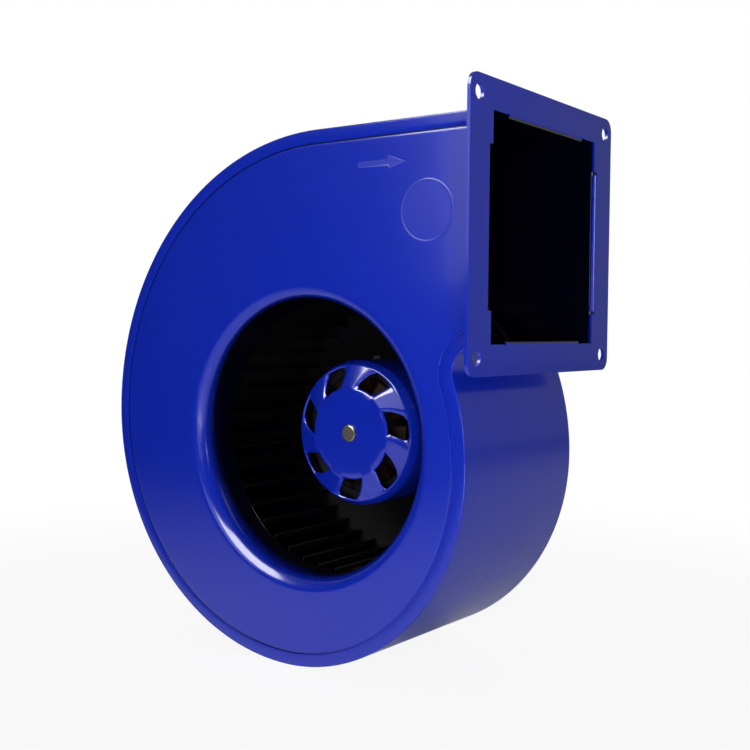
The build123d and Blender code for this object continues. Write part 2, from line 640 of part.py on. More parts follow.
with BuildPart() as board_capacitors:
    with BuildSketch(seen_from_inlet(BOARD_REAR)):
        # Each stands halfway between two transistors, and leaves the next place for a post.
        capacitor_range = 2 * CAPACITOR_COUNT * TRANSISTOR_PITCH
        with PolarLocations(POST_OFFSET, CAPACITOR_COUNT, TRANSISTOR_PITCH / 2, capacitor_range):
            Circle(CAPACITOR_RADIUS)
    extrude(amount=-CAPACITOR_HEIGHT)

with BuildPart() as board_transistors:
    with BuildSketch(seen_from_inlet(BOARD_REAR)):
        with PolarLocations(POST_OFFSET, TRANSISTOR_COUNT):
            Rectangle(*TRANSISTOR_SIZE[:2])
    extrude(amount=-TRANSISTOR_SIZE[2])

with BuildPart() as hall_sensors:
    with BuildSketch(seen_from_inlet(BOARD_FACE - HALL_SIZE[2])):
        with PolarLocations(BOARD_RADIUS - HALL_SIZE[0], HALL_COUNT):
            Rectangle(*HALL_SIZE[:2])
    extrude(amount=-HALL_SIZE[2])

with BuildPart() as board_connector:
    with BuildSketch(seen_from_inlet(BOARD_REAR)):
        with Locations((0, -POST_OFFSET)):
            Rectangle(*CONNECTOR_SIZE[:2])
    extrude(amount=-CONNECTOR_SIZE[2])


# Impeller wheel

def blade_face():
    """Section of a forward-curved blade: it turns clockwise, seen from the inlet."""
    inner_point = Vector(BLADE_INNER, 0)
    outer_point = Vector(*polar(BLADE_OUTER, -BLADE_SWEEP))
    chord = outer_point - inner_point
    across = Vector(-chord.Y, chord.X).normalized()
    with BuildSketch() as face:
        with BuildLine():
            ThreePointArc(inner_point, (inner_point + outer_point) / 2 + across * BLADE_BULGE, outer_point)
            Line(outer_point, outer_point + across * BLADE_SHEET)
            ThreePointArc(
                outer_point + across * BLADE_SHEET,
                (inner_point + outer_point) / 2 + across * (BLADE_BULGE + BLADE_SHEET),
                inner_point + across * BLADE_SHEET)
            Line(inner_point + across * BLADE_SHEET, inner_point)
        make_face()
    return face.sketch


with BuildPart() as impeller_blades:
    blade_front = WHEEL_FRONT + RING_SHEET
    with BuildSketch(seen_from_inlet(blade_front)):
        with PolarLocations(0, BLADE_COUNT):
            add(blade_face())
    extrude(amount=-(DISC_FACE - blade_front))

with BuildPart() as impeller_ring:
    skirt_inner = WHEEL_RADIUS + SEAT_GAP
    skirt_outer = skirt_inner + RING_SHEET
    turned([
        (RING_INNER, WHEEL_FRONT), (skirt_outer, WHEEL_FRONT), (skirt_outer, WHEEL_FRONT + RING_SKIRT),
        (skirt_inner, WHEEL_FRONT + RING_SKIRT), (skirt_inner, blade_front), (RING_INNER, blade_front)])

with BuildPart() as impeller_disc:
    disc_inner = ROTOR_RADIUS + SEAT_GAP
    disc_outer = skirt_inner + DISC_SHEET
    turned([
        (disc_inner, DISC_FACE), (skirt_inner, DISC_FACE), (skirt_inner, DISC_REAR - RING_SKIRT),
        (disc_outer, DISC_REAR - RING_SKIRT), (disc_outer, DISC_REAR), (disc_inner, DISC_REAR)])
    with BuildSketch(seen_from_inlet(DISC_FACE)):
        with PolarLocations(RIVET_CIRCLE, RIVET_COUNT):
            Circle(RIVET_RADIUS + SEAT_GAP)
    extrude(amount=-DISC_SHEET, mode=Mode.SUBTRACT)

with BuildPart() as impeller_rivets:
    with BuildSketch(seen_from_inlet(DISC_FACE)):
        with PolarLocations(RIVET_CIRCLE, RIVET_COUNT):
            Circle(RIVET_RADIUS)
    extrude(amount=-(RIM_REAR - DISC_FACE))
    for head_depth in (DISC_FACE - RIVET_HEAD_HEIGHT, RIM_REAR):
        with BuildSketch(seen_from_inlet(head_depth)):
            with PolarLocations(RIVET_CIRCLE, RIVET_COUNT):
                Circle(RIVET_HEAD_RADIUS)
        extrude(amount=-RIVET_HEAD_HEIGHT)


# Every piece by name

PIECES = {
    "scroll_wrap": scroll_wrap,
    "inlet_plate": inlet_plate,
    "rear_plate": rear_plate,
    "outlet_flange": outlet_flange,
    "motor_mount": motor_mount,
    "bearing_cap": bearing_cap,
    "lock_washers": lock_washers,
    "motor_screws": motor_screws,
    "cable_grommet": cable_grommet,
    "front_outer_race": outer_race(FRONT_BEARING),
    "front_inner_race": inner_race(FRONT_BEARING),
    "front_balls": balls(FRONT_BEARING),
    "front_shields": shields(FRONT_BEARING),
    "rear_outer_race": outer_race(REAR_BEARING),
    "rear_inner_race": inner_race(REAR_BEARING),
    "rear_balls": balls(REAR_BEARING),
    "rear_shields": shields(REAR_BEARING),
    "preload_spring": preload_spring,
    "shaft": shaft,
    "retaining_ring": retaining_ring,
    "rotor_bell": rotor_bell,
    "rotor_magnets": rotor_magnets,
    "stator_core": stator_core,
    "front_insulator": insulator(STATOR_FRONT - INSULATOR_THICKNESS),
    "rear_insulator": insulator(STATOR_REAR),
    "stator_windings": stator_windings,
    "circuit_board": circuit_board,
    "board_capacitors": board_capacitors,
    "board_transistors": board_transistors,
    "hall_sensors": hall_sensors,
    "board_connector": board_connector,
    "impeller_blades": impeller_blades,
    "impeller_ring": impeller_ring,
    "impeller_disc": impeller_disc,
    "impeller_rivets": impeller_rivets,
}

os.makedirs("parts", exist_ok=True)
for name, piece in PIECES.items():
    piece.part.label = name
    export_step(piece.part, f"parts/{name}.step")
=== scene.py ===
"""Visual model of a single-inlet centrifugal blower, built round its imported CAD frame.

Pieces are drawn in millimetres in the fan's own frame: the fan axis is the Y axis, depth runs along
+Y from the outer face of the inlet plate, +X points towards the outlet and +Z up.
"""

import json
import logging
import math
from collections.abc import Callable, Sequence
from dataclasses import dataclass, field, replace
from enum import Enum
from itertools import pairwise

import bmesh
import bpy
from mathutils import Matrix, Vector


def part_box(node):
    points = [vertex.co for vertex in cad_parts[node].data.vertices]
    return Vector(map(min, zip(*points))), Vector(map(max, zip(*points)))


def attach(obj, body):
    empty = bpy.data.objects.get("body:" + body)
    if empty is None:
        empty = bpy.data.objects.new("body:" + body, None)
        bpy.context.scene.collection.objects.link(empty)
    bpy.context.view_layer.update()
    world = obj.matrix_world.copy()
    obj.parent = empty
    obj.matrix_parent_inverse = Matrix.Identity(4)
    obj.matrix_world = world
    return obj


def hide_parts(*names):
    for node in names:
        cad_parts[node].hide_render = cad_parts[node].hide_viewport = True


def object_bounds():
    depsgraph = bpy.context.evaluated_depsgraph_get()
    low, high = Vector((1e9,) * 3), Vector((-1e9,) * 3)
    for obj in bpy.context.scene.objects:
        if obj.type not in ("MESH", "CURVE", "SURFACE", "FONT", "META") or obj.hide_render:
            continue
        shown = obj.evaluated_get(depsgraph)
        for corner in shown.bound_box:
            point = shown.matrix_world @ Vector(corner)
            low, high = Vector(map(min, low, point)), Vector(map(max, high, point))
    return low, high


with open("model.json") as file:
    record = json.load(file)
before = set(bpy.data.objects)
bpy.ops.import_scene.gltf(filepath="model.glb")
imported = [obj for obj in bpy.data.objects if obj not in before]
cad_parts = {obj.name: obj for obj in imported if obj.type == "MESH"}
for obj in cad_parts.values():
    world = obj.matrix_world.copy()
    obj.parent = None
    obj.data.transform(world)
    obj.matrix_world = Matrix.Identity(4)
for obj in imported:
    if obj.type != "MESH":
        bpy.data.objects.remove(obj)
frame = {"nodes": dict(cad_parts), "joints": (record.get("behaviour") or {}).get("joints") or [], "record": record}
CAD_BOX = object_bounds()

Net, Vert, Edge, Face = bmesh.types.BMesh, bmesh.types.BMVert, bmesh.types.BMEdge, bmesh.types.BMFace
Tree, Socket = bpy.types.NodeTree, bpy.types.NodeSocket

LOG = logging.getLogger("blower")
MM = 0.001                                # metres in a millimetre
FAN_AXIS = Vector(frame["joints"][0]["pos_m"])
INLET_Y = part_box("inlet_plate")[0].y      # outer face of the inlet plate
FAN_ORIGIN = Vector((FAN_AXIS.x, INLET_Y, FAN_AXIS.z))
TO_FRAME = Matrix.Translation(FAN_ORIGIN) @ Matrix.Scale(MM, 4)
DEPTH = (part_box("scroll_wrap")[1].y - INLET_Y) / MM   # between the outer faces of the side plates
REACH = "reach"                           # vertex attribute: share of a finish's own colour against its hidden colour, which is painted shade on the casing and rotor and the plate's colour on raised marks
ALONG = Vector((0.0, 1.0, 0.0))           # direction of the fan axis, away from the inlet
COUNTER = Vector((0.0, -1.0, 0.0))        # axis of turns that are anticlockwise, seen from the inlet
WHITE = (1.0, 1.0, 1.0, 1.0)


class Body(Enum):
    """Bodies of the CAD model."""

    HOUSING = "housing"
    IMPELLER = "impeller"


class Pattern(Enum):
    """Forms that a finish's fine structure takes."""

    GRAIN = "NOISE"
    RINGS = "RINGS"
    LAYERS = "BANDS"


def linear(hex_colour: str) -> tuple[float, float, float, float]:
    """Turns an sRGB hex value into a linear colour.

    Args:
        hex_colour: Six hex digits.
    Returns:
        Linear red, green and blue, and an alpha of 1.
    """
    parts = [int(hex_colour[index:index + 2], 16) / 255 for index in (0, 2, 4)]
    red, green, blue = [part / 12.92 if part <= 0.04045 else ((part + 0.055) / 1.055) ** 2.4 for part in parts]
    return red, green, blue, 1.0


def add_node(
        tree: Tree, kind: str, inputs: dict | None = None, **settings: object) -> bpy.types.Node:
    """Adds a node with its settings and links.

    Args:
        tree: Tree that takes the node.
        kind: Blender's name of the node's type, without "ShaderNode".
        inputs: Value, or output to link from, of each input by its name or number.
        settings: Values of the node's own properties.
    Returns:
        The new node.
    """
    node = tree.nodes.new(f"ShaderNode{kind}")
    for name, value in settings.items():
        setattr(node, name, value)
    for key, value in (inputs or {}).items():
        if isinstance(value, Socket):
            tree.links.new(value, node.inputs[key])
        else:
            node.inputs[key].default_value = value
    return node


def multiply(tree: Tree, one: Socket, other: Socket) -> Socket:
    """Multiplies two outputs."""
    return add_node(tree, "Math", {0: one, 1: other}, operation="MULTIPLY").outputs["Value"]


def blend(tree: Tree, factor: object, low: object, high: object) -> Socket:
    """Mixes two colours, each of them a linear colour or an output to link from."""
    mix = add_node(tree, "Mix", {"Factor": factor}, data_type="RGBA")
    for name, value in (("A", low), ("B", high)):
        if isinstance(value, Socket):
            tree.links.new(value, mix.inputs[name])
        else:
            mix.inputs[name].default_value = value
    return mix.outputs["Result"]


def ramp(tree: Tree, value: Socket, span: tuple[float, float],
         levels: tuple[float, float]) -> Socket:
    """Turns a value into a smooth step between two levels, over a span of values."""
    limits = {"Value": value, "From Min": span[0], "From Max": span[1], "To Min": levels[0], "To Max": levels[1]}
    return add_node(tree, "MapRange", limits, interpolation_type="SMOOTHSTEP").outputs["Result"]


@dataclass(frozen=True)
class Finish:
    """A surface: the real material, and what its fine structure does to the light.

    The pattern's size and depth are in millimetres. The colour and the roughness run between two
    values with the pattern.
    """

    name: str
    colour: str
    colour_high: str
    roughness: float
    roughness_high: float
    size: float
    depth: float
    pattern: Pattern = Pattern.GRAIN
    metallic: float = 0.0
    ior: float = 1.5
    specular: float = 0.5                 # below 0.5, the surface's pores swallow part of its sheen
    coat: float = 0.0
    coat_roughness: float = 0.1
    hidden_colour: str = ""               # colour where the mesh's own "reach" is 0: painted shade, except on raised marks

    def texture(self, tree: Tree) -> Socket:
        """Adds the pattern, centred on the fan axis.

        Args:
            tree: The material's node tree.
        Returns:
            The output that carries the pattern, from 0 to 1.
        """
        place = add_node(tree, "TexCoord").outputs["Object"]
        centred = add_node(tree, "Mapping", {"Vector": place, "Location": -FAN_ORIGIN})
        vector = centred.outputs["Vector"]
        if self.pattern is Pattern.GRAIN:
            inputs = {"Vector": vector, "Scale": 1 / (self.size * MM), "Detail": 3.0, "Roughness": 0.55}
            return add_node(tree, "TexNoise", inputs).outputs["Fac"]
        # A wave repeats every pi/10 of its own unit.
        inputs = {"Vector": vector, "Scale": math.pi / 10 / (self.size * MM), "Distortion": 0.4, "Detail": 1.0}
        settings = {"wave_type": self.pattern.value, "rings_direction": "Y", "bands_direction": "Y"}
        return add_node(tree, "TexWave", inputs, **settings).outputs["Fac"]

    def material(self) -> bpy.types.Material:
        """Makes the material, or returns it where it has been made before."""
        known = bpy.data.materials.get(self.name)
        if known:
            return known
        made = bpy.data.materials.new(self.name)
        made.use_nodes = True
        tree = made.node_tree
        tree.nodes.clear()
        fine = self.texture(tree)
        tint = blend(tree, fine, linear(self.colour), linear(self.colour_high))
        # Where reach is below 1 the hidden colour is mixed in: painted shade inside the casing, its seams and
        # mouth, and inside the rotor.
        if self.hidden_colour:
            reach = add_node(tree, "Attribute", attribute_name=REACH).outputs["Fac"]
            tint = blend(tree, reach, linear(self.hidden_colour), tint)
        spread = {"Value": fine, "To Min": self.roughness, "To Max": self.roughness_high}
        rough = add_node(tree, "MapRange", spread).outputs["Result"]
        bump = add_node(tree, "Bump", {"Height": fine, "Distance": self.depth * MM})
        shader = add_node(tree, "BsdfPrincipled", {
            "Base Color": tint, "Roughness": rough,
            "Normal": bump.outputs["Normal"], "Metallic": self.metallic, "IOR": self.ior,
            "Specular IOR Level": self.specular,
            "Coat Weight": self.coat, "Coat Roughness": self.coat_roughness})
        add_node(tree, "OutputMaterial", {"Surface": shader.outputs["BSDF"]})
        return made


# Polyester powder coat, baked onto the sheet: a deep ultramarine body under a smooth satin skin, with
# the faint orange peel that powder leaves when it flows together, a few millimetres across. Inside the
# casing and deep in its mouth the colour turns near black: painted shade.
POWDER_COAT = Finish(
    "powder_coated_steel", "0A219A", "0B239E", 0.17, 0.20, size=3.2, depth=0.0012, coat=0.3,
    coat_roughness=0.07, hidden_colour="02020C")
# Raised marks are drawn a little paler and duller than the plate. A mark's own middle, where it has
# the plate's colour, has a reach of 0.
RELIEF_COAT = replace(
    POWDER_COAT, name="powder_coated_relief", colour="1C2C9D", colour_high="1F2FA1", roughness=0.24,
    roughness_high=0.28, coat=0.2, hidden_colour="0B229C")
# Stoving enamel, sprayed on the deep-drawn rotor: the same blue, a little smoother and glossier. Inside
# the bell the colour turns near black: painted shade.
ENAMEL = Finish(
    "stove_enamelled_steel", "0A219C", "0B23A0", 0.13, 0.16, size=2.6, depth=0.0012, ior=1.55, coat=0.4,
    coat_roughness=0.05, hidden_colour="020309")
# Black cathodic dip coat on the wheel: thin and even, it shows the sheet's own fine grain. Its colour
# is held near black as painted shade, deep in the casing's throat.
DIP_COAT = Finish("dip_coated_steel", "040405", "060608", 0.60, 0.70, size=1.1, depth=0.006, specular=0.25)
# Turned steel, ground to size: concentric tool marks, drawn coarser than real ones so that they show.
TURNED_STEEL = Finish(
    "turned_steel", "8E8C84", "A19F97", 0.28, 0.36, size=0.45, depth=0.004, pattern=Pattern.RINGS, metallic=1.0)
# Ground and polished bearing steel.
BEARING_STEEL = Finish("ground_bearing_steel", "A9AAAB", "B5B6B8", 0.14, 0.20, size=0.5, depth=0.001, metallic=1.0)
# Electroplated zinc with a clear passivation: bluish, with a cloudy crystal bloom.
ZINC = Finish("zinc_plated_steel", "A4A9AE", "BEC3C8", 0.24, 0.38, size=1.6, depth=0.002, metallic=1.0)
# Die-cast aluminium: a dull skin with the fine grain of the die.
CAST_ALUMINIUM = Finish(
    "die_cast_aluminium", "8F9193", "A6A8AA", 0.38, 0.52, size=0.7, depth=0.012, metallic=1.0)
# Moulded EPDM rubber: matte, with a slight bloom.
RUBBER = Finish("moulded_rubber", "0E0E0F", "191919", 0.62, 0.78, size=0.8, depth=0.010, ior=1.52)
# Silicon-steel laminations, stacked along the fan axis: 0.5 mm sheets with dark varnish between them.
LAMINATIONS = Finish(
    "silicon_steel_laminations", "2A2B2E", "5B5D61", 0.35, 0.55, size=0.5, depth=0.03, pattern=Pattern.LAYERS,
    metallic=0.9)
# Enamelled copper wire, 0.6 mm thick, wound round each tooth: its turns follow each other outwards. Its
# colour is darkened to near black as painted shade, deep inside the rotor.
COPPER_WIRE = Finish(
    "enamelled_copper_wire", "140A05", "2A160B", 0.58, 0.70, size=0.6, depth=0.12, pattern=Pattern.RINGS,
    metallic=0.7)
# Sintered ferrite: near black, with the fine grain of pressed powder.
FERRITE = Finish("sintered_ferrite", "0E0E0F", "18181A", 0.60, 0.74, size=0.6, depth=0.010, specular=0.3)
# Glass-filled nylon of the stator's end plates, black, with a faint mottle of fibres near the skin.
GLASS_FILLED_NYLON = Finish(
    "glass_filled_nylon", "0B0B0C", "131314", 0.58, 0.70, size=0.9, depth=0.008, ior=1.53, specular=0.25)
# Circuit board: glass-epoxy laminate under green solder mask.
SOLDER_MASK = Finish("solder_mask_on_laminate", "0B3A1C", "0F4824", 0.30, 0.38, size=0.8, depth=0.006)
# Black epoxy moulding compound of the components.
EPOXY = Finish("epoxy_moulding", "111112", "1A1A1B", 0.45, 0.58, size=0.4, depth=0.006)
# Unfilled nylon of the connector's housing: milky white.
NYLON = Finish("natural_nylon", "D8D3C4", "E2DED0", 0.38, 0.46, size=1.2, depth=0.004, ior=1.53)

SLOT_FINISHES = {
    "casing_paint": POWDER_COAT,
    "rotor_paint": ENAMEL,
    "impeller_coat": DIP_COAT,
    "shaft_steel": TURNED_STEEL,
    "bearing_steel": BEARING_STEEL,
    "zinc_steel": ZINC,
    "cast_aluminium": CAST_ALUMINIUM,
    "grommet_rubber": RUBBER,
    "core_steel": LAMINATIONS,
    "copper_wire": COPPER_WIRE,
    "magnet": FERRITE,
    "insulator_nylon": GLASS_FILLED_NYLON,
    "board_laminate": SOLDER_MASK,
    "component_plastic": EPOXY,
    "connector_nylon": NYLON,
}


@dataclass
class Piece:
    """One visible piece: a mesh in the fan's frame, and what it becomes in the scene."""

    name: str
    slot: str
    body: Body
    smooth_angle: float = 32.0            # edges sharper than this stay sharp, in degrees
    look: Finish | None = None            # where it differs from the slot's own finish
    bm: Net = field(default_factory=bmesh.new)
    reach: bmesh.types.BMLayerItem = field(init=False)

    def __post_init__(self) -> None:
        """Adds the vertex layer that tells how much of the finish's own colour shows against its hidden colour,
        which is mostly painted shade.
        """
        self.reach = self.bm.verts.layers.float.new(REACH)

    def coat(self, verts: Sequence[Vert], share: float) -> None:
        """Sets the reach at some vertices: how much of the finish's own colour shows against its hidden colour,
        which is mostly painted shade.
        """
        for vert in verts:
            vert[self.reach] = share

    def finish(self, *replaced: str) -> bpy.types.Object:
        """Turns the mesh into a dressed object that rides on its body.

        Args:
            replaced: CAD nodes that the piece stands for.
        Returns:
            The new object.
        """
        bm = self.bm
        bmesh.ops.recalc_face_normals(bm, faces=bm.faces)
        limit = math.radians(self.smooth_angle)
        for face in bm.faces:
            face.smooth = True
        for edge in bm.edges:
            edge.smooth = edge.calc_face_angle(0.0) < limit
        bmesh.ops.transform(bm, matrix=TO_FRAME, verts=bm.verts)
        mesh = bpy.data.meshes.new(self.name)
        bm.to_mesh(mesh)
        bm.free()
        mesh.materials.append((self.look or SLOT_FINISHES[self.slot]).material())
        made = bpy.data.objects.new(self.name, mesh)
        bpy.context.scene.collection.objects.link(made)
        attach(made, self.body.value)
        if replaced:
            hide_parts(*replaced)
        LOG.info("%s: %d faces", self.name, len(mesh.polygons))
        return made


@dataclass
class Rail:
    """An open line across the fan axis, along which a sheet's section is swept."""

    piece: Piece
    base: list[Vector] = field(default_factory=list)
    normals: list[Vector] = field(default_factory=list)
    verts: list[Vert] = field(default_factory=list)

    def start(self, x: float, z: float, normal: Vector) -> None:
        """Puts the first vertex down."""
        self.verts.append(self.piece.bm.verts.new((x, 0.0, z)))
        self.normals.append(normal)

    def line_to(self, x: float, z: float, normal: Vector) -> None:
        """Adds a straight run."""
        made = bmesh.ops.extrude_vert_indiv(self.piece.bm, verts=[self.verts[-1]])["verts"][0]
        made.co = (x, 0.0, z)
        self.verts.append(made)
        self.normals.append(normal)

    def arc(self, centre: Vector, angle: float, step: float = math.radians(2.0)) -> None:
        """Adds an arc that leaves the last vertex at its own tangent.

        Args:
            centre: The arc's centre.
            angle: Anticlockwise angle, seen from the inlet; the air is outside a clockwise arc.
            step: Largest angle between two vertices.
        """
        bm = self.piece.bm
        before = len(bm.verts)
        steps = math.ceil(abs(angle) / step)
        bmesh.ops.spin(bm, geom=[self.verts[-1]], cent=centre, axis=COUNTER, angle=angle, steps=steps)
        for vert in list(bm.verts)[before:]:
            self.verts.append(vert)
            self.normals.append((vert.co - centre).normalized() * math.copysign(1.0, angle))

    def place(self, row: Sequence[Vert], inset: float, depth: float, reach: float) -> None:
        """Moves a row of vertices to a distance inside the line, at a depth, and sets its reach against painted
        shade.
        """
        for vert, base, normal in zip(row, self.base, self.normals):
            vert.co = base - normal * inset + ALONG * depth
        self.piece.coat(row, reach)

    def sweep(self, section: Sequence[tuple[float, float, float]]) -> list[list[Vert]]:
        """Draws a section along the line.

        Args:
            section: Points as distance inside the line, depth, and reach: the share of the colour that painted
                shade leaves.
        Returns:
            One row of vertices for each point of the section.
        """
        self.base = [vert.co.copy() for vert in self.verts]
        rows = [self.verts]
        self.place(self.verts, *section[0])
        for point in section[1:]:
            edges = row_edges(self.piece.bm, rows[-1])
            made = bmesh.ops.extrude_edge_only(self.piece.bm, edges=edges)["geom"]
            fresh = set(verts_in(made))
            row = [self.partner(vert, fresh) for vert in rows[-1]]
            self.place(row, *point)
            rows.append(row)
        return rows

    @staticmethod
    def partner(vert: Vert, fresh: set[Vert]) -> Vert:
        """Finds the vertex that an extrusion made from this one."""
        return next(edge.other_vert(vert) for edge in vert.link_edges if edge.other_vert(vert) in fresh)


def row_edges(bm: Net, row: Sequence[Vert]) -> list[Edge]:
    """Lists the edges between the neighbours of a row."""
    return [bm.edges.get(pair) for pair in pairwise(row)]


def verts_in(made: Sequence[object]) -> list[Vert]:
    """Picks the vertices out of what an operator made."""
    return [item for item in made if isinstance(item, Vert)]


def bevel(bm: Net, edges: Sequence[Edge], width: float, segments: int) -> None:
    """Rounds edges."""
    bmesh.ops.bevel(
        bm, geom=list(edges), offset=width, offset_type="OFFSET", affect="EDGES", segments=segments, profile=0.5,
        material=-1, clamp_overlap=True)


def spin_profile(piece: Piece, points: Sequence[tuple[float, float, float]], steps: int) -> None:
    """Turns a profile round the fan axis.

    Args:
        piece: Piece that takes the shape.
        points: Points of the profile as radius, depth, and reach: the share of the colour that painted shade
            leaves.
        steps: Faces round the axis.
    """
    bm = piece.bm
    verts = [bm.verts.new((radius, depth, 0.0)) for radius, depth, _ in points]
    for vert, (_, _, reach) in zip(verts, points):
        piece.coat([vert], reach)
    edges = [bm.edges.new(pair) for pair in pairwise(verts)]
    bmesh.ops.spin(
        bm, geom=verts + edges, cent=(0.0, 0.0, 0.0), axis=COUNTER, angle=math.tau, steps=steps, use_merge=True)


def edges_where(bm: Net, test: Callable[[Vector], bool]) -> list[Edge]:
    """Lists the edges both of whose ends pass a test of their place."""
    return [edge for edge in bm.edges if all(test(vert.co) for vert in edge.verts)]


def radius_of(place: Vector) -> float:
    """Distance from the fan axis."""
    return math.hypot(place.x, place.z)


@dataclass
class ScrollCasing:
    """The sheet casing: a wrap hemmed over two side plates."""

    sheet: float = 1.0
    step: float = 16.0                    # side of the square on which the scroll's arc centres stand
    radius: float = 91.0
    cutoff_arc: float = 110.0
    tongue_radius: float = 10.0
    duct_height: float = 90.0
    duct_end: float = (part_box("outlet_flange")[1].x - FAN_AXIS.x) / MM - 1.52     # behind the flange's sheet
    hem_width: float = 5.6
    hem_round: float = 0.5                # tighter than the solid's, as the paint shows it
    hem_edge_round: float = 0.14
    seam_gap: float = 0.6
    seam_depth: float = 0.5               # the paint fills the seam from there, thinly
    seam_share: float = 0.7               # how far down the hem's edge the seam's painted shade reaches
    seam_shade_reach: float = 0.2                # reach in the seam's painted shade, on the left and above
    seam_shade_fade: tuple[float, float] = (-12.0, 48.0)     # across: from where the seam's painted shade fades out, and where it is gone
    seat_gap: float = 0.05
    panel_round: float = 0.15
    support: float = 1.4                  # flat strip beside a bend, which keeps the shading of the flat true
    bell_radius: float = 66.0
    throat_radius: float = 60.0
    roll_depth: float = 7.0
    bell_depth: float = 22.0
    shade_depth: float = 10.0                # depth in the bellmouth where the painted shade is complete, at the axis's height
    shade_lean: float = 5.5                # how much deeper it is complete at the bottom, where the faces look up into the light
    shade_fade: float = 0.8                # share of that depth over which the painted shade sets in
    lip_round: float = 0.4
    bell_steps: int = 180
    roll_steps: int = 20
    wall_step: float = 1.5
    fold_segments: int = 6
    tongue_step: float = 6.0              # angle between two vertices of the tongue, in degrees
    holes: tuple[tuple[float, float, float], ...] = (   # across, up and radius of the rear plate's holes
        (0.0, 0.0, 22.05), (0.0, -32.0, 5.05),
        *[(32.0 * math.sqrt(0.5) * across, 32.0 * math.sqrt(0.5) * up, 2.25)
          for across, up in ((1, 1), (1, -1), (-1, 1), (-1, -1))])
    hole_sides: int = 48

    def rail(self, piece: Piece) -> Rail:
        """Draws the line of the wrap's outside, from the duct's roof round the scroll to its floor."""
        half = self.step / 2
        top = half + self.radius + 2 * self.step
        floor = top - self.duct_height
        cutoff = Vector((self.radius - half - self.cutoff_arc, 0.0, -half))
        rise = floor - self.tongue_radius - cutoff.z
        run = math.sqrt((self.cutoff_arc + self.tongue_radius) ** 2 - rise ** 2)
        tongue = cutoff + Vector((run, 0.0, rise))
        turn = math.atan2(rise, run)
        up = Vector((0.0, 0.0, 1.0))
        rail = Rail(piece)
        rail.start(self.duct_end, top, up)
        rail.line_to(half, top, up)
        rail.arc(Vector((half, 0.0, half)), math.pi / 2)
        rail.arc(Vector((-half, 0.0, half)), math.pi / 2)
        rail.arc(Vector((-half, 0.0, -half)), math.pi / 2)
        rail.arc(cutoff, turn)
        rail.arc(tongue, -math.pi / 2 - turn, math.radians(self.tongue_step))
        rail.line_to(self.duct_end, floor, -up)
        return rail

    def shade_seam(self, piece: Piece, rows: Sequence[Sequence[Vert]]) -> None:
        """Fades the seam's painted shade out towards the outlet's side, where more light falls into it."""
        start, end = self.seam_shade_fade
        # The seam along the duct's roof lies above half the radius and keeps its painted shade.
        for vert in (vert for row in rows for vert in row):
            if vert.co.z < self.radius / 2:
                share = min(max((vert.co.x - start) / (end - start), 0.0), 1.0)
                piece.coat([vert], self.seam_shade_reach + (1.0 - self.seam_shade_reach) * share)

    def build_wrap(self) -> None:
        """Makes the wrap, with its edges folded over both side plates."""
        piece = Piece("scroll_wrap_sheet", "casing_paint", Body.HOUSING)
        sheet, hem, support = self.sheet, self.hem_width, self.hem_round + self.support
        # The inner face is in painted shade, and the seam's row partly.
        half = [
            (sheet, DEPTH / 2, 0.0), (sheet, sheet, 0.0), (hem, sheet, 0.0),
            (hem, self.seam_depth * self.seam_share, self.seam_shade_reach),
            (hem, 0.0, 1.0), (0.0, 0.0, 1.0), (0.0, support, 1.0)]
        other = [(inset, DEPTH - depth, reach) for inset, depth, reach in reversed(half)]
        rows = self.rail(piece).sweep([*half, *other])
        self.shade_seam(piece, (rows[3], rows[10]))
        folds = row_edges(piece.bm, rows[5]) + row_edges(piece.bm, rows[8])
        bevel(piece.bm, folds, self.hem_round, self.fold_segments)
        bevel(piece.bm, row_edges(piece.bm, rows[4]) + row_edges(piece.bm, rows[9]), self.hem_edge_round, 2)
        bmesh.ops.remove_doubles(piece.bm, verts=piece.bm.verts, dist=self.seat_gap / 10)
        bmesh.ops.holes_fill(piece.bm, edges=[edge for edge in piece.bm.edges if edge.is_boundary], sides=0)
        piece.finish("scroll_wrap")

    def plate_sheet(self, piece: Piece, outer: float, inwards: float) -> tuple[list, list]:
        """Draws a side plate's raised panel and its rim behind the hem, open in the middle.

        Args:
            piece: Piece that takes the shape.
            outer: Depth of the plate's outer face.
            inwards: 1 where the inside lies at greater depth, or -1.
        Returns:
            The edges round the panel's outer face, and those round its inner face.
        """
        sheet, panel = self.sheet, self.hem_width + self.seam_gap
        rim = sheet + self.seat_gap
        # The seam's rows carry its painted shade; the rim behind the hem and the inner face are in painted shade.
        section = [
            (panel + self.support, 0.0, 1.0), (panel, 0.0, 1.0), (panel, self.seam_depth, self.seam_shade_reach),
            (self.hem_width + self.seat_gap, self.seam_depth, self.seam_shade_reach),
            (self.hem_width + self.seat_gap, sheet + self.seat_gap, 0.0), (rim, sheet + self.seat_gap, 0.0),
            (rim, 2 * sheet, 0.0), (panel + sheet, 2 * sheet, 0.0), (panel + sheet, sheet, 0.0),
            (panel + sheet + self.support, sheet, 0.0)]
        rows = self.rail(piece).sweep([(inset, outer + inwards * depth, reach) for inset, depth, reach in section])
        bm = piece.bm
        self.shade_seam(piece, rows[2:4])
        faces = []
        for row in (rows[0], rows[-1]):
            faces.append(row_edges(bm, row) + [bm.edges.new((row[-1], row[0]))])
        bevel(bm, row_edges(bm, rows[1]), self.panel_round, 3)
        return faces[0], faces[1]

    def fill_plate(self, bm: Net, *borders: Sequence[Edge]) -> None:
        """Fills both faces of a plate, round its holes, and the plate's end at the outlet."""
        for border in borders:
            bmesh.ops.triangle_fill(bm, use_beauty=True, edges=list(border), normal=COUNTER)
        bmesh.ops.holes_fill(bm, edges=[edge for edge in bm.edges if edge.is_boundary], sides=0)

    def mouth_shade(self, place: Vector) -> float:
        """Tells how much of the colour shows at a place in the bellmouth: deeper in, painted shade sets in
        smoothly.
        """
        end = self.shade_depth - self.shade_lean * place.z / radius_of(place)
        share = min(max((1.0 - place.y / end) / self.shade_fade, 0.0), 1.0)
        return share * share * (3.0 - 2.0 * share)

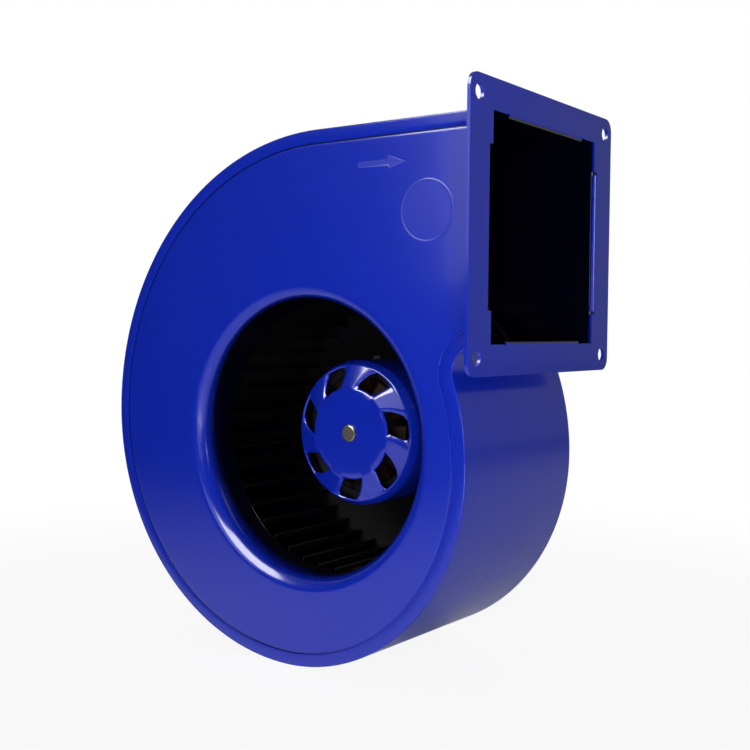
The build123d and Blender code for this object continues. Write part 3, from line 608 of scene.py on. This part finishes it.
    def build_inlet_plate(self) -> None:
        """Makes the inlet plate with its bellmouth, rolled inwards in one sheet."""
        piece = Piece("inlet_plate_sheet", "casing_paint", Body.HOUSING)
        bm = piece.bm
        outside, inside = self.plate_sheet(piece, 0.0, 1.0)
        width = self.bell_radius - self.throat_radius
        sheet = self.sheet
        turns = [math.pi / 2 * number / self.roll_steps for number in range(self.roll_steps + 1)]
        roll = [
            (self.bell_radius - width * math.sin(turn), self.roll_depth * (1 - math.cos(turn))) for turn in turns]
        # The roll's back, inside the casing, and the lip are in painted shade.
        back = [
            (self.bell_radius - (width - sheet) * math.sin(turn),
             self.roll_depth - (self.roll_depth - sheet) * math.cos(turn), 0.0) for turn in reversed(turns)]
        count = round((self.bell_depth - self.roll_depth) / self.wall_step)
        wall = [
            (self.throat_radius, self.roll_depth + (self.bell_depth - self.roll_depth) * number / count, 1.0)
            for number in range(1, count + 1)]
        lip = [(self.throat_radius + sheet, self.bell_depth, 0.0)]
        rim_radius = self.bell_radius + self.support
        before = set(bm.edges)
        front = [(rim_radius, 0.0, 1.0), *[(radius, depth, 1.0) for radius, depth in roll], *wall]
        spin_profile(piece, [*front, *lip, *back, (rim_radius, sheet, 0.0)], self.bell_steps)
        # Deep in the mouth the colour fades into painted shade.
        for vert in bm.verts:
            if vert[piece.reach] > 0.0 and radius_of(vert.co) < rim_radius:
                piece.coat([vert], self.mouth_shade(vert.co))
        near = self.seat_gap
        lips = [
            edge for edge in edges_where(bm, lambda place: abs(place.y - self.bell_depth) < near)
            if abs(radius_of(edge.verts[0].co) - radius_of(edge.verts[1].co)) < near]
        bevel(bm, lips, self.lip_round, 3)
        rims = [edge for edge in bm.edges if edge.is_boundary and edge not in before]
        rims = [edge for edge in rims if abs(radius_of(edge.verts[0].co) - rim_radius) < near]
        front_rim = [edge for edge in rims if edge.verts[0].co.y < sheet / 2]
        back_rim = [edge for edge in rims if edge.verts[0].co.y > sheet / 2]
        self.fill_plate(bm, [*outside, *front_rim], [*inside, *back_rim])
        piece.finish("inlet_plate")

    def build_rear_plate(self) -> None:
        """Makes the rear plate, with its holes."""
        piece = Piece("rear_plate_sheet", "casing_paint", Body.HOUSING)
        bm = piece.bm
        outside, inside = self.plate_sheet(piece, DEPTH, -1.0)
        for across, up, radius in self.holes:
            place = Matrix.Translation((across, DEPTH, up)) @ Matrix.Rotation(math.pi / 2, 4, "X")
            ring = bmesh.ops.create_circle(bm, radius=radius, segments=self.hole_sides, matrix=place)["verts"]
            piece.coat(ring, 1.0)
            rim = list({edge for vert in ring for edge in vert.link_edges})
            made = bmesh.ops.extrude_edge_only(bm, edges=rim)["geom"]
            fresh = verts_in(made)
            bmesh.ops.translate(bm, verts=fresh, vec=COUNTER * self.sheet)
            # The hole's inner end is in painted shade.
            piece.coat(fresh, 0.0)
            outside += rim
            inside += [
                item for item in made if isinstance(item, Edge)
                and item.verts[0] in fresh and item.verts[1] in fresh]
        self.fill_plate(bm, outside, inside)
        piece.finish("rear_plate")

    def build(self) -> None:
        """Makes the whole casing."""
        self.build_wrap()
        self.build_inlet_plate()
        self.build_rear_plate()


@dataclass
class Embossing:
    """Raised marks on the inlet plate: the airflow arrow, and a plain round boss beside it."""

    tail_x: float = 29.9
    neck_x: float = 45.0
    tip_x: float = 53.4
    arrow_z: float = 114.1
    shaft_half: float = 1.35
    head_half: float = 3.0
    arrow_border: float = 0.55
    boss_x: float = 63.9
    boss_z: float = 94.0
    boss_radius: float = 12.6
    boss_border: float = 1.1
    rise: float = 0.16
    pressed: float = 0.6                  # how much of the rise the middle lacks
    sunk: float = 0.3                     # part of the piece that stands inside the plate
    edge_round: float = 0.06
    crest_angle: float = 20.0             # edges sharper than this are rounded, in degrees
    crest_share: float = 0.9              # share of the rise above which a vertex is on the crest
    boss_sides: int = 96

    def raise_outline(self, name: str, line: Sequence[tuple[float, float]], border: float, middle: float) -> None:
        """Makes a raised outline, with its middle pressed most of the way back.

        Args:
            name: The piece's name.
            line: The outline's corners, across and up from the fan axis.
            border: Width of the raised edge.
            middle: How much paler the middle is, from 0 to 1.
        """
        piece = Piece(name, "casing_paint", Body.HOUSING, look=RELIEF_COAT)
        bm = piece.bm
        verts = [bm.verts.new((x, self.sunk, z)) for x, z in line]
        base = bm.faces.new(verts)
        made = bmesh.ops.extrude_face_region(bm, geom=[base])["geom"]
        bmesh.ops.translate(bm, verts=verts_in(made), vec=COUNTER * (self.rise + self.sunk))
        top = [item for item in made if isinstance(item, Face)]
        bmesh.ops.inset_region(bm, faces=top, thickness=border, use_even_offset=True)
        made = bmesh.ops.extrude_face_region(bm, geom=top)["geom"]
        bmesh.ops.translate(bm, verts=verts_in(made), vec=ALONG * self.rise * self.pressed)
        bmesh.ops.delete(bm, geom=top, context="FACES_ONLY")
        crest = [
            edge for edge in edges_where(bm, lambda place: place.y < -self.rise * self.crest_share)
            if edge.calc_face_angle(0.0) > math.radians(self.crest_angle)]
        bevel(bm, crest, self.edge_round, 2)
        piece.coat(bm.verts, 1.0)
        piece.coat([vert for vert in bm.verts if -self.rise / 2 < vert.co.y < 0.0], middle)
        piece.finish()

    def build(self) -> None:
        """Makes both marks."""
        half = [(self.tail_x, self.shaft_half), (self.neck_x, self.shaft_half), (self.neck_x, self.head_half)]
        arrow = [*half, (self.tip_x, 0.0), *[(x, -z) for x, z in reversed(half)]]
        self.raise_outline("airflow_arrow", [(x, self.arrow_z + z) for x, z in arrow], self.arrow_border, 0.7)
        turns = [math.tau * number / self.boss_sides for number in range(self.boss_sides)]
        boss = [
            (self.boss_x + self.boss_radius * math.cos(turn), self.boss_z + self.boss_radius * math.sin(turn))
            for turn in turns]
        self.raise_outline("round_boss", boss, self.boss_border, 0.2)


@dataclass
class RotorBell:
    """Deep-drawn bell of the external rotor, with swept cooling slots in its front."""

    radius: float = 33.5
    wall: float = 1.8
    skin: float = 0.2                     # how deep inside the side's wall a vertex is past its inner face
    hole: float = 4.05
    face: float = (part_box("rotor_bell")[0].y - INLET_Y) / MM
    flat_radius: float = 20.8
    cone_radius: float = 31.5
    cone_drop: float = 3.3
    shoulder_drop: float = 7.0
    flat_strip: float = 3.0               # keeps the shading of the flat true beside the blend
    flat_blend: float = 0.9
    shoulder_blend: float = 1.2
    shoulder_steps: int = 5
    vent_count: int = 7
    vent_inner: float = 21.2
    vent_outer: float = 30.2
    starts: tuple[float, float] = (54.0, 47.0)     # where a slot starts at its inner and its outer edge
    ends: tuple[float, float] = (82.0, 68.0)
    slot_steps: int = 18
    spoke_steps: int = 12
    slot_rows: int = 14
    corner_round: float = 2.4
    edge_round: float = 0.35
    lip_drop: float = 0.75                # how far a slot's edge is rolled inwards, over how many grid cells
    lip_span: float = 2.1
    lip_power: float = 1.6                # how steeply the roll sets in
    lip_angle: float = 50.0               # edges sharper than this are a slot's, in degrees
    front_reach: float = 6.0              # how deep the slots' edges reach behind the face
    near: float = 1e-6
    rim_radius: float = 39.5
    rear: float = (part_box("rotor_bell")[1].y - INLET_Y) / MM

    def cone_depth(self, radius: float) -> float:
        """Depth of the cone's front at a radius."""
        slope = self.cone_drop / (self.cone_radius - self.flat_radius)
        return self.face + slope * max(radius - self.flat_radius, 0.0)

    def rounded(self, across: float, up: float, width: float, height: float) -> tuple[float, float]:
        """Moves a point of a slot's border onto the arc that rounds the nearest corner.

        Args:
            across: Distance along the slot.
            up: Distance across the slot.
            width: The slot's length.
            height: The slot's width.
        Returns:
            The moved distances.
        """
        near_x, near_y = min(across, width - across), min(up, height - up)
        reach = max(near_x, near_y)
        if reach >= self.corner_round or min(near_x, near_y) > self.near:
            return across, up
        turn = math.pi / 4 * (1 + reach / self.corner_round)
        long, short = self.corner_round * (1 - math.cos(turn)), self.corner_round * (1 - math.sin(turn))
        new_x, new_y = (long, short) if near_x >= near_y else (short, long)
        return (new_x if across * 2 <= width else width - new_x), (new_y if up * 2 <= height else height - new_y)

    def warp(self, place: Vector) -> Vector:
        """Works out where a grid vertex goes, so that the grid's lines follow the slots.

        Args:
            place: The vertex before it is moved.
        Returns:
            Its new place.
        """
        columns = self.slot_steps + self.spoke_steps
        radius, depth = radius_of(place), place.y
        number = round(math.atan2(place.z, place.x) / math.tau * columns * self.vent_count)
        sector, column = divmod(number, columns)
        height = self.vent_outer - self.vent_inner
        up = radius - self.vent_inner
        across = float(column)
        if column <= self.slot_steps and -self.near <= up <= height + self.near:
            width = math.radians(self.ends[0] - self.starts[0]) * self.vent_inner
            cell = width / self.slot_steps
            moved, up = self.rounded(column * cell, min(max(up, 0.0), height), width, height)
            across = moved / cell
            radius = self.vent_inner + up
            depth = self.cone_depth(radius)
        beside = min(max(column - self.slot_steps, 0), columns - column)
        beyond = max(-up, up - height, 0.0) / height * self.slot_rows
        depth += self.lip_drop * max(1.0 - math.hypot(beside, beyond) / self.lip_span, 0.0) ** self.lip_power
        share = min(max(up / height, 0.0), 1.0)
        start = self.starts[0] + share * (self.starts[1] - self.starts[0])
        end = self.ends[0] + share * (self.ends[1] - self.ends[0])
        pitch = 360.0 / self.vent_count
        if column <= self.slot_steps:
            angle = start + (end - start) * across / self.slot_steps
        else:
            angle = end + (start + pitch - end) * (across - self.slot_steps) / self.spoke_steps
        turn = math.radians(angle + sector * pitch)
        return Vector((radius * math.cos(turn), depth, radius * math.sin(turn)))

    def profile(self, bm: Net) -> None:
        """Draws the half section of the bell's outside, with its bends rounded."""
        span = self.vent_outer - self.vent_inner
        rows = [self.vent_inner + span * number / self.slot_rows for number in range(-1, self.slot_rows + 2)]
        edge, side = self.face + self.cone_drop, self.rear - self.wall
        points = [
            (self.hole, self.face), (self.flat_radius - self.flat_strip, self.face),
            (self.flat_radius - self.flat_blend, self.face),
            *[(radius, self.cone_depth(radius)) for radius in rows],
            (self.cone_radius, edge), (self.radius, self.face + self.shoulder_drop),
            (self.radius, self.face + 2 * self.shoulder_drop), (self.radius, side), (self.rim_radius, side)]
        verts = [bm.verts.new((radius, depth, 0.0)) for radius, depth in points]
        for pair in pairwise(verts):
            bm.edges.new(pair)
        shoulder = 3 + len(rows)
        for vert in verts[shoulder:shoulder + 2]:
            bmesh.ops.bevel(
                bm, geom=[vert], offset=self.shoulder_blend, offset_type="OFFSET", affect="VERTICES",
                segments=self.shoulder_steps, profile=0.5, material=-1)

    def build(self) -> None:
        """Makes the bell: a turned sheet, slots cut along its grid, then its wall and rounded edges."""
        piece = Piece("rotor_bell_shell", "rotor_paint", Body.IMPELLER)
        bm = piece.bm
        self.profile(bm)
        steps = (self.slot_steps + self.spoke_steps) * self.vent_count
        bmesh.ops.spin(
            bm, geom=[*bm.verts, *bm.edges], cent=(0.0, 0.0, 0.0), axis=COUNTER, angle=math.tau, steps=steps,
            use_merge=True)
        slots = [face for face in bm.faces if self.in_slot(face)]
        for vert in bm.verts:
            vert.co = self.warp(vert.co)
        bmesh.ops.delete(bm, geom=slots, context="FACES")
        bmesh.ops.recalc_face_normals(bm, faces=bm.faces)
        bmesh.ops.solidify(bm, geom=list(bm.faces), thickness=-self.wall)
        # Only the outer skin keeps the enamel's colour; the inside is in painted shade.
        outside = {vert for vert in bm.verts if self.on_outside(vert.co)}
        piece.coat(outside, 1.0)
        rims = [
            edge for edge in edges_where(bm, self.by_slot)
            if edge.calc_face_angle(0.0) > math.radians(self.lip_angle) and outside.issuperset(edge.verts)]
        bevel(bm, rims, self.edge_round, 3)
        LOG.info("bell's front at %.2f mm, %d lips", min(vert.co.y for vert in bm.verts), len(rims))
        piece.finish("rotor_bell")

    def on_outside(self, place: Vector) -> bool:
        """Tells whether a place is on the bell's outer skin."""
        radius = radius_of(place)
        in_side = radius > self.radius - self.wall + self.skin
        return in_side or place.y < self.cone_depth(radius) + self.wall / 2

    def by_slot(self, place: Vector) -> bool:
        """Tells whether a place is in the ring that holds the slots."""
        near = self.edge_round
        in_ring = self.vent_inner - near < radius_of(place) < self.vent_outer + near
        return in_ring and place.y < self.face + self.front_reach

    def in_slot(self, face: Face) -> bool:
        """Tells whether a face of the grid lies in a slot."""
        centre = face.calc_center_median()
        if not self.vent_inner < radius_of(centre) < self.vent_outer:
            return False
        columns = self.slot_steps + self.spoke_steps
        number = math.floor(math.atan2(centre.z, centre.x) / math.tau * columns * self.vent_count)
        return number % columns < self.slot_steps


@dataclass
class SoftenedPart:
    """A CAD part whose edges are rounded, as a maker breaks them and as paint rounds them."""

    node: str
    width: float
    segments: int = 2
    sharpness: float = 40.0               # edges sharper than this are rounded, in degrees
    weld: float = 0.002
    flat_angle: float = 0.5               # faces that differ by less than this are one flat, in degrees
    smooth_angle: float = 18.0            # below the angles inside a rounded edge, which keeps flats flat
    shade_from: tuple[float, float, float] = (0.0, 0.0, 0.0)       # box in which the colour is painted shade
    shade_to: tuple[float, float, float] = (0.0, 0.0, 0.0)

    def build(self) -> None:
        """Makes the piece from a merged copy of the node's mesh."""
        part = next(item for item in frame["record"]["subparts"] if item["node"] == self.node)
        bodies = frame["record"]["behaviour"]["bodies"]
        body = next(name for name, nodes in bodies.items() if self.node in nodes)
        piece = Piece(f"{self.node}_softened", part["material_slot"], Body(body), self.smooth_angle)
        bm = piece.bm
        bm.from_mesh(frame["nodes"][self.node].data)
        bmesh.ops.transform(bm, matrix=TO_FRAME.inverted(), verts=bm.verts)
        bmesh.ops.remove_doubles(bm, verts=bm.verts, dist=self.weld)
        bmesh.ops.dissolve_limit(bm, angle_limit=math.radians(self.flat_angle), verts=bm.verts, edges=bm.edges)
        sharp = [edge for edge in bm.edges if edge.calc_face_angle(0.0) > math.radians(self.sharpness)]
        bevel(bm, sharp, self.width, self.segments)
        piece.reach = bm.verts.layers.float.get(REACH) or bm.verts.layers.float.new(REACH)
        least, most = ((corner - FAN_ORIGIN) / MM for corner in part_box(self.node))
        for vert in bm.verts:
            # The bevel's rounding errors must not reach past the part.
            vert.co = [min(max(value, low), high) for low, value, high in zip(least, vert.co, most)]
            # Inside the box the colour turns to painted shade.
            shaded = all(low < value < high for low, value, high in zip(self.shade_from, vert.co, self.shade_to))
            piece.coat([vert], 0.0 if shaded else 1.0)
        piece.finish(self.node)


@dataclass
class SlitShade:
    """Near-black blocks in the flange's relief slits, behind the sheet: painted shade."""

    front: float = 92.4                   # across the fan axis, set back from the flange's face
    back: float = 91.6
    across_slits: tuple[tuple[float, float], ...] = ((-1.8, 0.1), (DEPTH - 0.1, DEPTH + 1.8))
    side_rows: tuple[tuple[float, float], ...] = ((54.8, 56.0), (116.0, 117.2))
    upright_slits: tuple[tuple[float, float], ...] = ((130.9, 132.8), (39.2, 41.1))
    roof_rows: tuple[tuple[float, float], ...] = ((12.05, 13.25), (DEPTH - 13.25, DEPTH - 12.05))

    def build(self) -> None:
        """Makes the small blocks."""
        piece = Piece("slit_primer", "casing_paint", Body.HOUSING)
        spans = [(depth, row) for depth in self.across_slits for row in self.side_rows]
        spans += [(row, height) for height in self.upright_slits for row in self.roof_rows]
        for (near, far), (low, high) in spans:
            middle = Vector((self.front + self.back, near + far, low + high)) / 2
            size = Vector((self.front - self.back, far - near, high - low))
            bmesh.ops.create_cube(piece.bm, matrix=Matrix.LocRotScale(middle, None, size))
        piece.coat(piece.bm.verts, 0.0)
        piece.finish()


SOFTENED = (
    SoftenedPart("outlet_flange", 0.22, shade_from=(50.0, -0.1, 40.9), shade_to=(92.7, DEPTH + 0.1, 131.1)),
    SoftenedPart("motor_mount", 0.3),
    SoftenedPart("bearing_cap", 0.25),
    SoftenedPart("shaft", 0.45, 1),
    SoftenedPart("lock_washers", 0.12),
    SoftenedPart("motor_screws", 0.12),
)


def dress_cad() -> None:
    """Gives every CAD node the finish of its material slot."""
    for part in frame["record"]["subparts"]:
        node = frame["nodes"][part["node"]]
        node.data.materials.clear()
        node.data.materials.append(SLOT_FINISHES[part["material_slot"]].material())


@dataclass(frozen=True)
class Camera:
    """The photograph's viewpoint."""

    place: tuple[float, float, float] = (210.5, -403.2, -38.2)     # in the CAD frame
    yaw: float = 36.36                    # from +Y towards -X, in degrees
    pitch: float = 2.44                   # downwards
    roll: float = 0.53
    focal: float = 1096.5                 # in pixels
    image: float = 750.0
    sensor: float = 36.0

    def build(self) -> None:
        """Adds the camera and makes it the scene's."""
        yaw, pitch, roll = (math.radians(angle) for angle in (self.yaw, self.pitch, self.roll))
        look = Vector((-math.sin(yaw) * math.cos(pitch), math.cos(yaw) * math.cos(pitch), -math.sin(pitch)))
        level = Vector((math.cos(yaw), math.sin(yaw), 0.0))
        up = level.cross(look)
        right = level * math.cos(roll) + up * math.sin(roll)
        top = up * math.cos(roll) - level * math.sin(roll)
        data = bpy.data.cameras.new("camera")
        data.sensor_width = self.sensor
        data.sensor_fit = "HORIZONTAL"
        data.lens = self.focal / self.image * self.sensor
        data.clip_start = 10 * MM
        made = bpy.data.objects.new("camera", data)
        turned = Matrix((right, top, -look)).transposed().to_4x4()
        made.matrix_world = Matrix.Translation(Vector(self.place) * MM) @ turned
        bpy.context.scene.collection.objects.link(made)
        bpy.context.scene.camera = made


@dataclass(frozen=True)
class Lamp:
    """A soft box."""

    name: str
    place: tuple[float, float, float]
    aim: tuple[float, float, float]
    width: float
    height: float
    radiance: float
    mirrored: bool = True                 # whether it shows in glossy surfaces
    lights: bool = True                   # whether it also lights matte ones

    def build(self) -> None:
        """Adds the lamp."""
        data = bpy.data.lights.new(self.name, "AREA")
        data.shape = "RECTANGLE"
        data.size, data.size_y = self.width, self.height
        data.energy = self.radiance * math.pi * self.width * self.height
        made = bpy.data.objects.new(self.name, data)
        towards = Vector(self.aim) - Vector(self.place)
        made.matrix_world = Matrix.Translation(self.place) @ towards.to_track_quat("-Z", "Y").to_matrix().to_4x4()
        made.visible_glossy = self.mirrored
        made.visible_diffuse = self.lights
        bpy.context.scene.collection.objects.link(made)


@dataclass(frozen=True)
class Studio:
    """White surroundings, a pale floor and soft lamps."""

    floor_radius: float = 8.0             # of the corners of one large triangle, which has no inner edges
    floor_gap: float = 0.0005
    unlit: tuple[float, float, float] = (-0.6, -0.8, 0.0)         # direction in which the floor's light fades
    fade_span: tuple[float, float] = (0.32, 0.80)      # distances that way between which it fades, in gloss
    fade_levels: tuple[float, float] = (0.08, 1.0)
    shadow_span: tuple[float, float] = (0.20, 0.50)    # distances from the fan where the eye's floor turns white
    paper: str = "F8F8F8"
    paper_end: str = "2A2A2A"
    white_share: float = 0.9              # how much of the floor the eye sees as plain white beside the object
    front_glow: float = 0.36              # added to the floor's light in gloss, just in front of the fan
    glow_rise: tuple[float, float] = (0.03, 0.10)      # distances towards "unlit" where the glow comes and goes
    glow_fall: tuple[float, float] = (0.10, 0.50)
    ambient: float = 0.16                 # the surroundings' light on matte surfaces
    gloss_span: tuple[float, float] = (-0.45, 0.35)    # along +Y, where the surroundings' gloss turns pale
    gloss_levels: tuple[float, float] = (0.012, 0.24)
    lamps: tuple[Lamp, ...] = (
        Lamp("key_box", (0.28, -0.58, -0.09), (-0.03, -0.04, -0.12), 0.45, 0.18, 18.0, mirrored=False),
        Lamp("overhead_box", (-0.25, -0.70, 0.70), (-0.09, -0.04, -0.08), 0.78, 0.90, 13.0, lights=False),
        Lamp("overhead_glow", (-0.14, -0.46, 0.80), (-0.09, -0.04, -0.09), 0.6, 0.5, 0.9, mirrored=False),
        Lamp("front_card", (-0.38, -1.07, 0.18), (-0.06, -0.04, -0.02), 0.54, 0.31, 1.5, lights=False),
        Lamp("side_strip", (1.00, -0.04, 0.12), (-0.09, -0.04, -0.08), 0.12, 0.26, 20.0, lights=False),
        Lamp("rear_fill", (-0.42, 0.90, 0.28), (-0.09, 0.04, -0.08), 0.6, 0.5, 3.2, mirrored=False),
    )

    def build_world(self) -> None:
        """Makes the surroundings: white to the eye; for gloss, pale behind and dark in front."""
        world = bpy.data.worlds.new("studio")
        bpy.context.scene.world = world
        world.use_nodes = True
        tree = world.node_tree
        tree.nodes.clear()
        path = add_node(tree, "LightPath").outputs
        direction = add_node(tree, "TexCoord").outputs["Generated"]
        along = add_node(tree, "SeparateXYZ", {"Vector": direction}).outputs["Y"]
        gloss = ramp(tree, along, self.gloss_span, self.gloss_levels)
        ambient = add_node(tree, "Mix", {"Factor": path["Is Glossy Ray"], "A": self.ambient, "B": gloss})
        seen = add_node(tree, "Math", {0: path["Is Camera Ray"], 1: path["Is Transmission Ray"]},
                        operation="MAXIMUM").outputs["Value"]
        level = add_node(tree, "Mix", {"Factor": seen, "A": ambient.outputs["Result"], "B": 1.0})
        back = add_node(tree, "Background", {"Color": WHITE, "Strength": level.outputs["Result"]})
        add_node(tree, "OutputWorld", {"Surface": back.outputs["Background"]})

    def build_floor(self) -> None:
        """Lays a pale floor under the casing, which fades to white away from it."""
        bm = bmesh.new()
        place = Matrix.Translation((FAN_AXIS.x, 0.0, CAD_BOX[0].z - self.floor_gap))
        bmesh.ops.create_circle(bm, cap_ends=True, radius=self.floor_radius, segments=3, matrix=place)
        mesh = bpy.data.meshes.new("floor")
        bm.to_mesh(mesh)
        bm.free()
        paper = bpy.data.materials.new("floor_paper")
        paper.use_nodes = True
        tree = paper.node_tree
        tree.nodes.clear()
        point = add_node(tree, "TexCoord").outputs["Object"]
        away = add_node(tree, "VectorMath", {0: point, 1: self.unlit}, operation="DOT_PRODUCT")
        away = away.outputs["Value"]
        path = add_node(tree, "LightPath").outputs
        fade = multiply(tree, ramp(tree, away, self.fade_span, self.fade_levels), path["Is Glossy Ray"])
        tint = blend(tree, fade, linear(self.paper), linear(self.paper_end))
        bounce = add_node(tree, "BsdfDiffuse", {"Color": tint})
        rise = ramp(tree, away, self.glow_rise, (0.0, self.front_glow))
        near = multiply(tree, rise, ramp(tree, away, self.glow_fall, (1.0, 0.0)))
        near = multiply(tree, near, path["Is Glossy Ray"])
        lift = add_node(tree, "Emission", {"Color": WHITE, "Strength": near})
        bounce = add_node(tree, "AddShader", {0: bounce.outputs[0], 1: lift.outputs[0]})
        spot = (FAN_AXIS.x, 0.0, CAD_BOX[0].z)
        gap = add_node(tree, "VectorMath", {0: point, 1: spot}, operation="DISTANCE").outputs["Value"]
        share = ramp(tree, gap, self.shadow_span, (self.white_share, 1.0))
        lit = add_node(tree, "BsdfDiffuse", {"Color": WHITE}).outputs[0]
        glow = add_node(tree, "Emission", {"Color": WHITE, "Strength": 1.0}).outputs[0]
        seen = add_node(tree, "MixShader", {0: share, 1: lit, 2: glow}).outputs[0]
        mixed = add_node(tree, "MixShader", {0: path["Is Camera Ray"], 1: bounce.outputs[0], 2: seen})
        add_node(tree, "OutputMaterial", {"Surface": mixed.outputs["Shader"]})
        mesh.materials.append(paper)
        made = bpy.data.objects.new("floor", mesh)
        bpy.context.scene.collection.objects.link(made)

    def build(self) -> None:
        """Sets the whole stage."""
        bpy.context.scene.view_settings.view_transform = "Standard"
        self.build_world()
        self.build_floor()
        for lamp in self.lamps:
            lamp.build()


def main() -> None:
    """Builds the stage and every piece."""
    logging.basicConfig(level=logging.INFO, format="%(message)s")
    Camera().build()
    Studio().build()
    dress_cad()
    ScrollCasing().build()
    Embossing().build()
    RotorBell().build()
    SlitShade().build()
    for part in SOFTENED:
        part.build()


if __name__ == "__main__":
    main()
